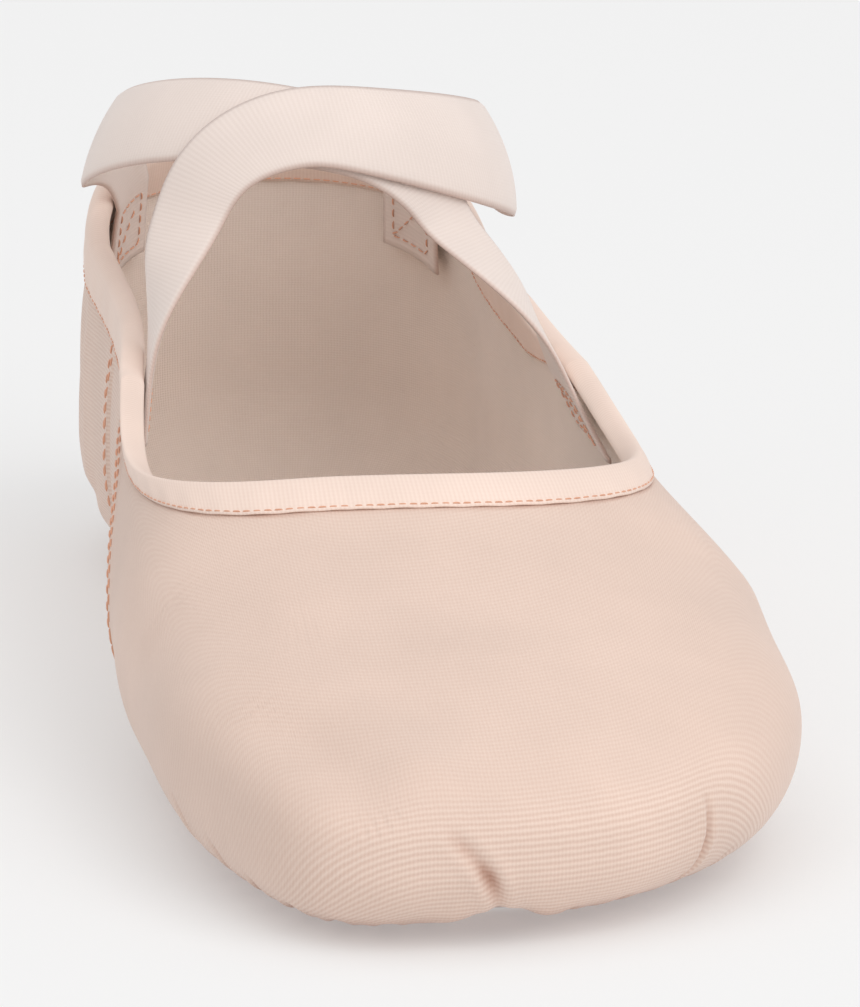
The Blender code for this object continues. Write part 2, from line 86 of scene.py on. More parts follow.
# Height of the elastics' crossing, and the rounded form that they wrap: its half-width
crossing_height = 0.0765
wrap_half_width = 0.032

# Shares of the length: where the toe's and heel's rounding starts, and the throat
toe_start = 0.672
heel_start = 0.17
throat_start = 0.43
throat_end = 0.672
arch_start = 0.26
arch_end = 0.63
tip_offset = -0.150

# Roundness: 2 is an ellipse, more is squarer
medial_toe_roundness = 2.15
lateral_toe_roundness = 2.6
heel_roundness = 2.3
section_roundness = 2.3
toe_fullness = 4.2
collar_highest = 0.98
throat_roundness = 2.9

# Medial and lateral edges are shares of the local width, and the crest of the ball width
Section = namedtuple("Section", "along medial lateral crest")
SECTIONS = (
    Section(heel_start, 0.590, 0.410, -0.062),
    Section(0.30, 0.525, 0.425, -0.075),
    Section(0.42, 0.508, 0.416, -0.100),
    Section(0.56, 0.494, 0.440, -0.135),
    Section(toe_start, 0.500, 0.500, tip_offset),
)

# Top over the instep height, widest line over its greatest height, collar over the heel's height
Profile = namedtuple("Profile", "along top widest collar")
PROFILE = (
    Profile(0.00, 2.00, 0.95, 1.00),
    Profile(0.08, 2.00, 0.95, 0.96),
    Profile(0.17, 1.97, 0.97, 0.86),
    Profile(0.30, 1.78, 1.04, 0.79),
    Profile(0.42, 1.58, 1.08, 0.77),
    Profile(0.55, 1.22, 0.98, 0.78),
    Profile(0.66, 1.00, 0.88, 0.76),
    Profile(0.80, 0.76, 0.74, 0.76),
    Profile(0.90, 0.63, 0.62, 0.76),
    Profile(1.00, 0.50, 0.52, 0.76),
)

# Lines of the upper that run from the bottom over the widest outline to the collar
Station = namedtuple("Station", "spine outline collar columns")
STATIONS = {
    "toe": Station(0.80, 1.00, throat_end, 0),
    "fore_seam": Station(0.655, 0.575, 0.417, 20),
    "heel_seam": Station(0.20, 0.26, 0.28, 7),
    "heel": Station(0.13, 0.00, 0.00, 10),
}
fan_share = 0.55

# Outline of a patch: turn from the toe's direction towards the inner side, reach over half its length
Reach = namedtuple("Reach", "turn reach")
FOREFOOT_PATCH = (
    Reach(0, 1.00),
    Reach(30, 0.97),
    Reach(60, 0.90),
    Reach(90, 0.87),
    Reach(120, 0.94),
    Reach(137, 1.07),
    Reach(149, 1.14),
    Reach(158, 1.03),
    Reach(172, 0.93),
    Reach(188, 0.92),
    Reach(197, 1.02),
    Reach(207, 1.22),
    Reach(217, 1.20),
    Reach(235, 1.00),
    Reach(270, 0.88),
    Reach(300, 0.91),
    Reach(330, 0.96),
)
HEEL_PATCH = (
    Reach(0, 1.08),
    Reach(14, 1.00),
    Reach(40, 0.82),
    Reach(90, 0.69),
    Reach(135, 0.76),
    Reach(180, 0.92),
    Reach(225, 0.76),
    Reach(270, 0.69),
    Reach(320, 0.82),
    Reach(346, 1.00),
)
forefoot_patch_along = 0.775
forefoot_patch_across = -0.02
heel_patch_along = 0.145

# The elastics: the side each starts on, its layer, where it starts and ends along the shoe, and the handles
# of its curve at both ends and at the crossing, over the wrapped form's half-width
Handle = namedtuple("Handle", "out back up")
Strap = namedtuple("Strap", "side layer start end rising arriving leaving sinking")
STRAPS = {
    "strap_over": Strap(
        -1, 1, 0.397, 0.085,
        Handle(0.00, 0.02, 0.60), Handle(0.66, -0.08, 0.00),
        Handle(0.80, 0.20, -0.32), Handle(0.42, -0.50, 0.05),
    ),
    "strap_under": Strap(
        1, -1, 0.425, 0.085,
        Handle(0.02, 0.10, 0.50), Handle(0.55, -0.10, -0.05),
        Handle(0.85, 0.42, 0.04), Handle(0.42, -0.46, 0.22),
    ),
}
crossing_along = 0.335
strap_clear_rise = 0.004
wrap_hold = 0.45

# The form that the elastics wrap: centre along the length and over the crossing's height
wrap_along = 0.20
wrap_middle = 0.747
wrap_depth = 0.042
wrap_rise = 0.028

MEDIAL = -1
LATERAL = 1
DENSE = 400

# How finely a surface is drawn: columns for each of the stations' counts, rows under the shoe and up its side
Fineness = namedtuple("Fineness", "columns under side")
CLOTH_FINENESS = Fineness(12, 60, 100)
LINING_FINENESS = Fineness(4, 16, 30)
toe_crowding = 1.35
patch_points = 360
patch_rows = 30
strap_points_across = 16
strap_points_along = 44
strap_depths = 15

# Folds of the cloth: places round the outline from the toe's tip, over the shoe's length, and up the side,
# from -1 in the middle of the underside over 0 at the widest line to 1 at the collar; sizes in millimetres
Fold = namedtuple("Fold", "side round up round_bend up_bend round_end up_end width depth")
TUCK = (
    Fold(LATERAL, 0.016, 0.05, 0.036, -0.03, 0.056, -0.26, 1.0, 1.5),
)
TOE_PLEATS = (
    Fold(LATERAL, 0.176, 0.05, 0.177, -0.05, 0.174, -0.20, 0.6, 1.2),
    Fold(LATERAL, 0.176, -0.14, 0.170, -0.34, 0.158, -0.60, 1.0, 1.1),
    Fold(LATERAL, 0.100, -0.20, 0.097, -0.36, 0.088, -0.62, 0.9, 1.3),
    Fold(LATERAL, 0.136, -0.18, 0.131, -0.36, 0.118, -0.62, 0.9, 1.3),
    Fold(LATERAL, 0.218, -0.12, 0.210, -0.34, 0.190, -0.60, 1.0, 1.2),
    Fold(LATERAL, 0.264, -0.16, 0.254, -0.34, 0.230, -0.58, 1.1, 1.0),
    Fold(LATERAL, 0.016, -0.24, 0.015, -0.38, 0.013, -0.64, 0.9, 1.2),
    Fold(MEDIAL, 0.018, -0.23, 0.018, -0.38, 0.016, -0.64, 0.9, 1.2),
    Fold(MEDIAL, 0.052, -0.22, 0.049, -0.38, 0.042, -0.64, 0.9, 1.3),
    Fold(MEDIAL, 0.088, -0.21, 0.083, -0.38, 0.072, -0.63, 1.0, 1.3),
    Fold(MEDIAL, 0.128, -0.20, 0.121, -0.38, 0.108, -0.62, 1.0, 1.2),
    Fold(MEDIAL, 0.174, -0.18, 0.165, -0.36, 0.150, -0.60, 1.1, 1.1),
    Fold(MEDIAL, 0.226, -0.14, 0.214, -0.34, 0.196, -0.58, 1.2, 1.0),
)
TOE_HOLLOWS = (
    Fold(MEDIAL, 0.020, 0.06, 0.046, 0.19, 0.110, 0.32, 4.6, 1.4),
    Fold(MEDIAL, 0.180, 0.66, 0.120, 0.55, 0.040, 0.60, 9.0, 0.5),
)
ARCH_FOLDS = (
    Fold(MEDIAL, 0.560, 0.55, 0.570, 0.10, 0.620, -0.55, 2.4, 1.0),
    Fold(MEDIAL, 0.620, 0.50, 0.630, 0.00, 0.660, -0.60, 2.2, 0.9),
    Fold(MEDIAL, 0.680, 0.60, 0.690, 0.10, 0.710, -0.50, 2.0, 0.9),
    Fold(MEDIAL, 0.740, 0.50, 0.745, 0.00, 0.760, -0.45, 2.2, 0.5),
    Fold(LATERAL, 0.560, 0.50, 0.575, 0.00, 0.620, -0.60, 2.4, 0.6),
    Fold(LATERAL, 0.640, 0.55, 0.650, 0.05, 0.680, -0.55, 2.2, 0.6),
    Fold(LATERAL, 0.720, 0.50, 0.725, 0.00, 0.740, -0.50, 2.2, 0.5),
)
HEEL_FOLDS = (
    Fold(MEDIAL, 0.900, 0.70, 0.930, 0.30, 0.940, -0.20, 2.6, 0.7),
    Fold(LATERAL, 0.900, 0.70, 0.925, 0.30, 0.935, -0.20, 2.6, 0.6),
    Fold(MEDIAL, 0.860, -0.10, 0.900, -0.22, 0.960, -0.25, 1.8, 0.5),
    Fold(LATERAL, 0.850, -0.10, 0.890, -0.22, 0.950, -0.25, 1.8, 0.5),
)

# Soft swells and dents of worn cloth: place, radius and height in millimetres
Swell = namedtuple("Swell", "side round up radius height")
SWELLS = (
    Swell(MEDIAL, 0.075, -0.06, 14.0, 1.5),
    Swell(LATERAL, 0.008, 0.17, 6.5, 1.1),
    Swell(LATERAL, 0.315, 0.04, 17.0, 1.7),
    Swell(LATERAL, 0.055, -0.28, 4.3, -4.6),
    Swell(LATERAL, 0.080, -0.20, 3.0, 0.8),
    Swell(LATERAL, 0.022, -0.18, 3.2, 0.7),
    Swell(MEDIAL, 0.290, 0.22, 17.0, -1.3),
    Swell(LATERAL, 0.090, 0.24, 9.0, 0.35),
    Swell(LATERAL, 0.150, 0.22, 8.0, -0.35),
    Swell(LATERAL, 0.205, 0.22, 9.0, 0.35),
)

# Line under the toe that the vamp's ribs run round, since the cloth is gathered there: lengths from the
# toe's tip to the outer side and up from the widest line, and how far from it the ribs open and close
RIB_GUIDE = ((0.0015, -0.016), (0.040, -0.016))
rib_open_until = 0.019
rib_closed_from = 0.029

# Rows of thread: distance from the lap's edge, in millimetres
SEAM_ROWS_MM = (1.2, 3.2)
patch_row_mm = 2.2
binding_row_mm = 0.55
piping_radius = 0.00035
tape_share = 1.12
tape_tuck = 0.00078
tape_pucker = 0.00005
tape_pucker_pitch = 0.0054
tape_stitch_sink = 0.00068

# How strongly painted shade darkens the colour: in folds, in hollows, along the tape, at the floor, at elastics'
# edges
fold_shade = 0.6
hollow_shade_start = 0.4
tape_shade = 0.45
floor_shade = 0.55
elastic_edge_shade = 0.45
full_fold = 0.0014
full_hollow = 0.003
floor_shade_height = 0.003
# Colour that the depth mark multiplies in as painted shade
painted_shade_colour = "#BC8A70"

# Woven finishes: from thread to thread across the ribs, how dull and how downy the face is, how high its ribs
# stand, what share of it the cross threads take and how waved they run. Real cross threads lie closer, but
# under about 0.4 mm they don't show in the render, so they are drawn as coarse as that
Weave = namedtuple("Weave", "thread roughness sheen relief cross distortion")
CANVAS_WEAVE = Weave(0.00052, 0.86, 0.25, 0.00012, 0.22, 0.9)
LINING_WEAVE = Weave(0.0005, 0.92, 0.2, 0.00008, 0.5, 1.0)
TAPE_WEAVE = Weave(0.0009, 0.8, 0.2, 0.00002, 0.2, 0.6)
ELASTIC_WEAVE = Weave(0.00045, 0.62, 0.3, 0.000045, 0.25, 0.35)
TWILL_WEAVE = Weave(0.0008, 0.92, 0.25, 0.0001, 0.5, 1.0)
lining_rib = 0.0005
tape_rib = 0.0006
twill_rib = 0.0008

# Studio: the camera looks along the photograph's angle, and lights are large and soft
camera_azimuth = -8.2
camera_elevation = 14.4
camera_distance = 1.25
camera_lens = 329.0
camera_aim = (-0.0028, -0.05, 0.0425)
Light = namedtuple("Light", "name place size power")
LIGHTS = (
    Light("key", (1.8, -2.4, 3.2), 3.2, 50.0),
    Light("front", (1.3, -3.0, 0.8), 2.6, 16.0),
    Light("fill", (-2.8, -2.3, 2.2), 3.4, 11.0),
    Light("top", (0.0, -0.3, 4.0), 4.5, 42.0),
)
lights_aim = (0, -0.02, 0.03)
room_light = 0.64
floor_reach = 8.0
floor_glow = 0.3


# Sizes and colours that a user would change

class BalletShoeSizes(bpy.types.PropertyGroup):
    """Sizes of the finish, which a maker could choose anew."""

    rib_pitch: bpy.props.FloatProperty(
        name="Rib Pitch", description="From rib to rib of the canvas",
        default=0.00085, unit="LENGTH", precision=5,
    )
    side_rib_pitch: bpy.props.FloatProperty(
        name="Side Rib Pitch", description="From rib to rib of the canvas at arch and heel, less stretched",
        default=0.00065, unit="LENGTH", precision=5,
    )
    elastic_rib: bpy.props.FloatProperty(
        name="Elastic Rib", description="From rib to rib of the elastic",
        default=0.00066, unit="LENGTH", precision=5,
    )
    stitch_length: bpy.props.FloatProperty(
        name="Stitch Length", description="Length of a stitch", default=0.0018, unit="LENGTH", precision=5
    )
    stitch_gap: bpy.props.FloatProperty(
        name="Stitch Gap", description="From one stitch to the next",
        default=0.0006, unit="LENGTH", precision=5,
    )
    thread_width: bpy.props.FloatProperty(
        name="Thread Width", description="Width of the sewing thread",
        default=0.00034, unit="LENGTH", precision=5,
    )
    fold_depth: bpy.props.FloatProperty(
        name="Fold Depth", description="Depth of all folds of the cloth, over the usual depth",
        default=1.0, min=0.0, max=2.0,
    )


def colour_property(name, description, code):
    return bpy.props.FloatVectorProperty(
        name=name, description=description, subtype="COLOR", size=4, min=0.0, max=1.0, default=linear(code)
    )


def linear(code):
    """Linear colour with alpha from an sRGB hex value."""
    parts = [int(code[i:i + 2], 16) / 255 for i in (1, 3, 5)]
    parts = [p / 12.92 if p <= 0.04045 else ((p + 0.055) / 1.055) ** 2.4 for p in parts]
    return (*parts, 1.0)


class BalletShoeColours(bpy.types.PropertyGroup):
    """Colours of the finish."""

    # The groove colours are darker copies of the face colours, mixed in where the weave lies low: painted shade
    # between ribs and threads
    canvas: colour_property("Canvas", "Top of the canvas's ribs", "#ECD7CA")
    canvas_groove: colour_property("Canvas Groove", "Between the canvas's ribs", "#D3B3A2")
    lining: colour_property("Lining", "Cotton lining", "#F4E8DF")
    lining_groove: colour_property("Lining Groove", "Between the lining's threads", "#E8D8CD")
    binding: colour_property("Binding", "Tape round the collar", "#F3DDD0")
    binding_groove: colour_property("Binding Groove", "Between the tape's ribs", "#EAD1C3")
    suede: colour_property("Suede", "Suede where the nap lies up", "#EBDCD6")
    suede_dark: colour_property("Suede Dark", "Suede where the nap lies down", "#C9B1A9")
    elastic: colour_property("Elastic", "Top of the elastic's ribs", "#EADBD3")
    elastic_groove: colour_property("Elastic Groove", "Between the elastic's ribs", "#E3D3CA")
    coral_thread: colour_property("Coral Thread", "Thread of the seams", "#E8AE90")
    brown_thread: colour_property("Brown Thread", "Thread round the patches", "#8A5F58")
    insole: colour_property("Insole", "Cotton of the insoles", "#EBDACE")
    floor: colour_property("Floor", "Studio floor", "#C8C8C8")


# Reading the tables

def curve_through(table, column, along):
    """Value of a column of a table at a share of the length."""
    return smooth([row.along for row in table], [getattr(row, column) for row in table], along)


def smooth(x, y, wanted):
    """Value at x of a smooth curve through known values."""
    x = np.array(x, float)
    y = np.array(y, float)
    slope = np.gradient(y, x)
    wanted = np.clip(wanted, x[0], x[-1])
    i = np.clip(np.searchsorted(x, wanted) - 1, 0, len(x) - 2)
    step = x[i + 1] - x[i]
    p = (wanted - x[i]) / step
    start = y[i] * (1 + 2 * p) * (1 - p) ** 2 + slope[i] * step * p * (1 - p) ** 2
    end = y[i + 1] * p * p * (3 - 2 * p) + slope[i + 1] * step * p * p * (p - 1)
    return start + end


def local_width(along):
    """From the heel's width to the ball's width."""
    p = np.clip((along - heel_start) / (toe_start - heel_start), 0, 1)
    return heel_width + (ball_width - heel_width) * p * p * (3 - 2 * p)


def crest(along):
    """How far the highest line of the last lies to the side."""
    return ball_width * curve_through(SECTIONS, "crest", along)


def half_width(along, side):
    """From the crest to the widest line, on one side."""
    medial = local_width(along) * curve_through(SECTIONS, "medial", along) + crest(along)
    lateral = local_width(along) * curve_through(SECTIONS, "lateral", along) - crest(along)
    return np.where(side < 0, medial, lateral)


def top_height(along):
    return instep_height * curve_through(PROFILE, "top", along)


def widest_line(along):
    return widest_height * curve_through(PROFILE, "widest", along)


# The last as a height over each point of the plan

def place(x, y):
    """Where a point of the plan lies: its shares along the shoe and from the crest to the outline,
    its sideways share, the distance from crest to outline there, and how far it is in front at the toe.
    """
    along = y / shoe_length
    inner = np.clip(along, heel_start, toe_start)
    offset = x - crest(inner)
    half = half_width(inner, offset)
    across = np.abs(offset) / half
    ahead = np.clip((along - toe_start) / (1 - toe_start), 0, 1)
    behind = np.clip((heel_start - along) / heel_start, 0, 1)
    toe_roundness = np.where(offset < 0, medial_toe_roundness, lateral_toe_roundness)
    roundness = np.where(along > toe_start, toe_roundness, heel_roundness)
    share = (across**roundness + np.maximum(ahead, behind) ** roundness) ** (1 / roundness)
    facing = (across / np.maximum(share, 1e-9)) ** 2
    end = shoe_length * np.where(along > toe_start, 1 - toe_start, heel_start)
    reach = half * facing + end * (1 - facing)
    toe = np.where(along > toe_start, 1 - facing, 0)
    return along, np.minimum(share, 1), np.sign(offset) * across, reach, toe


def upper_side(x, y):
    """Height of the last's upper side over a point of the plan."""
    along, share, _, _, toe = place(x, y)
    low = widest_line(along)
    roundness = section_roundness + (toe_fullness - section_roundness) * toe
    return low + (top_height(along) - low) * (1 - share**roundness) ** (1 / roundness)


def underside(x, y):
    """Height of the cloth under a point of the plan: flat, lifted at the arch, rolled up at the edge."""
    along, share, sideways, reach, _ = place(x, y)
    arch = np.clip((along - arch_start) / (arch_end - arch_start), 0, 1)
    lift = arch_lift * np.sin(math.pi * arch) ** 2 * (1 - 0.3 * sideways)
    low = suede_thickness + clearance + lift
    flat = 1 - edge_roll / reach
    roll = np.clip((share - flat) / (1 - flat), 0, 1)
    return low + (widest_line(along) - low) * (1 - np.sqrt(1 - roll**2))


def under_offset(x, y, distance):
    """Height of a surface that keeps a distance from the underside, above it or, if negative, below."""
    step = 0.0005
    slope_x = (underside(x + step, y) - underside(x - step, y)) / (2 * step)
    slope_y = (underside(x, y + step) - underside(x, y - step)) / (2 * step)
    return underside(x, y) + distance * np.sqrt(1 + slope_x**2 + slope_y**2)


# Lines round the shoe, from the toe to the heel

def fan(roundness):
    """Shares ahead and across of a quarter of a rounded end, from its tip to its side."""
    turn = np.linspace(0, math.pi / 2, DENSE)
    return np.cos(turn) ** (2 / roundness), np.sin(turn) ** (2 / roundness)


def outline(side):
    """Widest line on one side, from the tip of the toe to the back of the heel, in plan."""
    ahead, across = fan(medial_toe_roundness if side == MEDIAL else lateral_toe_roundness)
    toe_y = toe_start + (1 - toe_start) * ahead
    toe_x = crest(toe_start) + side * half_width(toe_start, side) * across
    middle = np.linspace(toe_start, heel_start, DENSE)[1:-1]
    middle_x = crest(middle) + side * half_width(middle, side)
    ahead, across = fan(heel_roundness)
    heel_y = heel_start * (1 - ahead[::-1])
    heel_x = crest(heel_start) + side * half_width(heel_start, side) * across[::-1]
    x = np.concatenate([toe_x, middle_x, heel_x])
    y = shoe_length * np.concatenate([toe_y, middle, heel_y])
    return np.stack([x, y, widest_line(y / shoe_length)], axis=1)


def collar_share(along):
    """Share of the way from the crest to the outline at which the side reaches the collar's height."""
    low = widest_line(along)
    height = heel_height * curve_through(PROFILE, "collar", along)
    rise = np.clip((height - low) / (top_height(along) - low), 0, collar_highest)
    return (1 - rise**section_roundness) ** (1 / section_roundness)


def collar(side):
    """Edge of the opening on one side, from the middle of the throat to the back of the heel."""
    ahead, across = fan(throat_roundness)
    throat_y = throat_start + (throat_end - throat_start) * ahead
    throat_x = crest(throat_y) + side * half_width(throat_y, side) * collar_share(throat_start) * across
    middle = np.linspace(throat_start, heel_start, DENSE)[1:-1]
    middle_x = crest(middle) + side * half_width(middle, side) * collar_share(middle)
    ahead, across = fan(heel_roundness)
    share = collar_share(heel_start * (1 - ahead[::-1]))
    heel_y = heel_start * (1 - share * ahead[::-1])
    heel_x = crest(heel_start) + side * half_width(heel_start, side) * share * across[::-1]
    x = np.concatenate([throat_x, middle_x, heel_x])
    y = shoe_length * np.concatenate([throat_y, middle, heel_y])
    return np.stack([x, y, upper_side(x, y)], axis=1)


def lengths(points):
    steps = np.linalg.norm(np.diff(points, axis=0), axis=1)
    return np.concatenate([[0], np.cumsum(steps)])


def at_length(points, wanted):
    """Points at given lengths along a line of many points."""
    measured = lengths(points)
    return np.stack([np.interp(wanted, measured, points[:, k]) for k in range(3)], axis=1)


def station_lengths(points, shares):
    """Lengths at which a line from toe to heel passes shares of the shoe's length, its ends included."""
    measured = lengths(points)
    inner = [np.interp(-share * shoe_length, -points[:, 1], measured) for share in shares]
    return [0.0] + inner + [measured[-1]]


def block_columns(fineness):
    """Columns in the vamp, the arch panel and the heel panel, on one side."""
    return [station.columns * fineness.columns for station in list(STATIONS.values())[1:]]


def spread(marks, fineness):
    """Lengths of the columns from mark to mark, with the two sides of each seam a lap's edge apart."""
    found = []
    for block, count in enumerate(block_columns(fineness)):
        start = marks[block] + (lap_edge if block else 0)
        shares = np.linspace(0, 1, count + 1) ** (1 if block else toe_crowding)
        found.append(start + (marks[block + 1] - start) * shares)
    return np.concatenate(found)


def line_between(start, end, height, rows):
    """Points from start to end, straight in plan and on a surface, evenly spaced over it."""
    p = (1 - np.cos(np.linspace(0, math.pi, DENSE))) / 2
    x = start[0] + (end[0] - start[0]) * p
    y = start[1] + (end[1] - start[1]) * p
    z = height(x, y)
    z[0] = start[2]
    z[-1] = end[2]
    dense = np.stack([x, y, z], axis=1)
    return at_length(dense, np.linspace(0, lengths(dense)[-1], rows + 1))


def spine_shares(fineness):
    """Where each column starts on the bottom: a fan at the toe, along the middle, a fan at the heel."""
    toe, fore, rear, heel = STATIONS.values()
    fore_columns, rear_columns, heel_columns = block_columns(fineness)
    p = np.linspace(0, 1, fore_columns + 1) ** toe_crowding
    p = np.clip((p - fan_share) / (1 - fan_share), 0, 1)
    front = toe.spine + (fore.spine - toe.spine) * p
    middle = np.linspace(fore.spine, rear.spine, rear_columns + 1)
    p = np.clip(np.linspace(0, 1 / (1 - fan_share), heel_columns + 1), 0, 1)
    return np.concatenate([front, middle, rear.spine + (heel.spine - rear.spine) * p])


def side_columns(side, fineness):
    """Columns of the upper on one side, from the toe to the heel, each from the bottom to the collar."""
    seams = [STATIONS["fore_seam"], STATIONS["heel_seam"]]
    edge = outline(side)
    mouth = collar(side)
    edge_points = at_length(edge, spread(station_lengths(edge, [s.outline for s in seams]), fineness))
    mouth_points = at_length(mouth, spread(station_lengths(mouth, [s.collar for s in seams]), fineness))
    columns = []
    for edge_point, mouth_point, along in zip(edge_points, mouth_points, spine_shares(fineness)):
        bottom = np.array([crest(along), along * shoe_length, 0.0])
        bottom[2] = underside(bottom[0], bottom[1])
        low = line_between(bottom, edge_point, underside, fineness.under)
        high = line_between(edge_point, mouth_point, upper_side, fineness.side)
        columns.append(np.concatenate([low, high[1:]]))
    return np.array(columns)


def shell_grid(fineness):
    """Outer surface as columns round the shoe: toe, inner side, heel, outer side."""
    medial = side_columns(MEDIAL, fineness)
    lateral = side_columns(LATERAL, fineness)
    grid = np.concatenate([medial, lateral[-2:0:-1]])
    grid[..., 1] = shoe_length / 2 - grid[..., 1]
    return grid


def unit(vectors):
    return vectors / np.maximum(np.linalg.norm(vectors, axis=-1, keepdims=True), 1e-12)


def outward(grid):
    """Unit normals of a grid that closes round its columns."""
    wrapped = np.concatenate([grid[-1:], grid, grid[:1]])
    round_the_shoe = wrapped[2:] - wrapped[:-2]
    up = np.gradient(grid, axis=1)
    return unit(np.cross(up, round_the_shoe))


# The shell of cloth, with its laps and folds

class Shell:
    """Grid of the upper's outer surface, with normals, lengths for the weave and the places of its seams."""

    def __init__(self, fineness):
        self.fineness = fineness
        self.flat = shell_grid(fineness)
        self.normals = outward(self.flat)
        self.columns, self.rows, _ = self.flat.shape
        fore, rear, _ = block_columns(fineness)
        self.fore_seam = fore
        self.heel_seam = fore + rear + 1
        row = self.flat[:, fineness.under]
        closed = np.concatenate([row, row[:1]])
        self.round = lengths(closed)[:-1]
        self.around = lengths(closed)[-1]
        self.up = np.array([lengths(column) for column in self.flat])
        self.rise = self.up - self.up[:, fineness.under:fineness.under + 1]

    def spot(self, side, round_share, up):
        """Point of the surface from a share round the outline from the toe's tip and a share up the side."""
        wanted = round_share * shoe_length
        if side == LATERAL:
            wanted = self.around - wanted
        column = np.interp(wanted % self.around, self.round, np.arange(self.columns))
        under = self.fineness.under
        row = under * (1 + up) if up < 0 else under + up * self.fineness.side
        low_column, low_row = int(column), int(min(row, self.rows - 2))
        c, r = column - low_column, row - low_row
        here = self.flat[low_column % self.columns]
        there = self.flat[(low_column + 1) % self.columns]
        line = here * (1 - c) + there * c
        return line[low_row] * (1 - r) + line[low_row + 1] * r

    def across(self):
        """Length along each row from the toe's tip: to the outer side it counts up, to the inner down."""
        half = self.columns // 2
        found = np.zeros(self.up.shape)
        for way in (MEDIAL, LATERAL):
            index = -way * np.arange(half + 1)
            steps = np.linalg.norm(np.diff(self.flat[index], axis=0), axis=2)
            found[index[1:]] = way * np.cumsum(steps, axis=0)
        return found

    def seam_sides(self):
        """Each seam's column on the side that laps over, and which way that panel lies."""
        total = self.columns
        return (
            (self.fore_seam, -1),
            (self.heel_seam + 1, 1),
            (total - self.fore_seam, 1),
            (total - self.heel_seam - 1, -1),
        )

    def lap(self):
        """How far the vamp and heel panels stand out where they lap over the arch panel."""
        raised = np.zeros(self.columns)
        for seam, way in self.seam_sides():
            steps = np.arange(self.fineness.columns * 5)
            index = (seam + way * steps) % self.columns
            away = np.abs(self.round[index] - self.round[seam % self.columns])
            away = np.minimum(away, self.around - away)
            raised[index] = np.maximum(raised[index], np.clip(1 - away / lap_width, 0, 1))
        below = self.up[:, -1:] - self.up
        under_binding = np.clip((below - binding_height - clearance) / lap_width, 0, 1)
        out_of_patch = np.clip(np.arange(self.rows) / self.fineness.under * 2 - 1, 0, 1)
        return lap_step * raised[:, None] * under_binding * out_of_patch


def bent_line(points, count=24):
    """Points of a curve that starts and ends at the outer two of three points and leans to the middle one."""
    start, bend, end = points
    pull = 2 * bend - (start + end) / 2
    p = np.linspace(0, 1, count)[:, None]
    return start * (1 - p) ** 2 + pull * 2 * p * (1 - p) + end * p * p


def fold_relief(shell, folds):
    """Height of troughs with soft shoulders along each fold, over the whole surface."""
    relief = np.zeros(shell.flat.shape[:2])
    for fold in folds:
        places = (
            shell.spot(fold.side, fold.round, fold.up),
            shell.spot(fold.side, fold.round_bend, fold.up_bend),
            shell.spot(fold.side, fold.round_end, fold.up_end),
        )
        line = bent_line(places)
        width = fold.width / 1000
        low, high = line.min(axis=0) - 5 * width, line.max(axis=0) + 5 * width
        near = np.all((shell.flat > low) & (shell.flat < high), axis=2)
        points = shell.flat[near]
        nearest = np.full(len(points), 1.0)
        share = np.zeros(len(points))
        for k, point in enumerate(line):
            away = np.linalg.norm(points - point, axis=1)
            closer = away < nearest
            nearest = np.where(closer, away, nearest)
            share = np.where(closer, k / (len(line) - 1), share)
        fade = np.sin(math.pi * np.clip(share, 0.02, 0.98)) ** 0.6
        trough = -np.exp(-((nearest / width) ** 2))
        shoulder = 0.2 * np.exp(-(((nearest - 2.0 * width) / (0.9 * width)) ** 2))
        relief[near] += fold.depth / 1000 * fade * (trough + shoulder)
    return relief


def swell_relief(shell):
    """Height of the soft swells and dents, over the whole surface."""
    relief = np.zeros(shell.flat.shape[:2])
    for swell in SWELLS:
        away = np.linalg.norm(shell.flat - shell.spot(swell.side, swell.round, swell.up), axis=2)
        relief += swell.height / 1000 * np.exp(-((away / (swell.radius / 1000)) ** 2))
    return relief


def slow_waves(shell):
    """Very low swells of the cloth, so that no panel is perfectly even."""
    x, y, z = np.moveaxis(shell.flat, 2, 0)
    swell = np.sin(95 * x + 40 * y + 1.3) * np.cos(70 * y - 60 * z) + 0.6 * np.sin(170 * y + 90 * z + 120 * x)
    return 0.00014 * swell


def from_guide(shell):
    """Distance along the cloth from the line that the vamp's ribs run round."""
    places = np.stack([shell.across(), shell.rise], axis=-1)
    start, end = (np.array(p) for p in RIB_GUIDE)
    way = end - start
    share = np.clip(((places - start) @ way) / (way @ way), 0, 1)
    return np.linalg.norm(places - start - share[..., None] * way, axis=-1)


# Meshes

def grid_faces(columns, rows, wrap_columns, wrap_rows):
    """Faces between neighbouring columns and rows of a grid."""
    c = np.arange(columns if wrap_columns else columns - 1)[:, None]
    r = np.arange(rows if wrap_rows else rows - 1)[None, :]
    here = c * rows
    there = (c + 1) % columns * rows
    above = (r + 1) % rows
    return np.stack([here + r, here + above, there + above, there + r], axis=-1).reshape(-1, 4)


def add_piece(name, points, faces, material, slot, cloth_lengths=None, **marks):
    """A mesh object from arrays, with lengths of the weave as its UV map and marks for its shading."""
    mesh = bpy.data.meshes.new(name)
    faces = np.asarray(faces, dtype=np.int32)
    corners = faces.shape[1]
    mesh.vertices.add(len(points))
    mesh.vertices.foreach_set("co", np.asarray(points, dtype=np.float32).ravel())
    mesh.loops.add(faces.size)
    mesh.loops.foreach_set("vertex_index", faces.ravel())
    mesh.polygons.add(len(faces))
    mesh.polygons.foreach_set("loop_start", np.arange(len(faces), dtype=np.int32) * corners)
    if cloth_lengths is not None:
        layer = mesh.uv_layers.new(name="weave")
        layer.uv.foreach_set("vector", np.asarray(cloth_lengths, dtype=np.float32)[faces.ravel()].ravel())
    for mark, values in marks.items():
        layer = mesh.attributes.new(mark, "FLOAT", "POINT")
        layer.data.foreach_set("value", np.asarray(values, dtype=np.float32).ravel())
    mesh.update(calc_edges=True)
    mesh.validate()
    mesh.shade_smooth()
    mesh.materials.append(material)
    made = bpy.data.objects.new(name, mesh)
    bpy.context.scene.collection.objects.link(made)
    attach(made, "root")
    return made


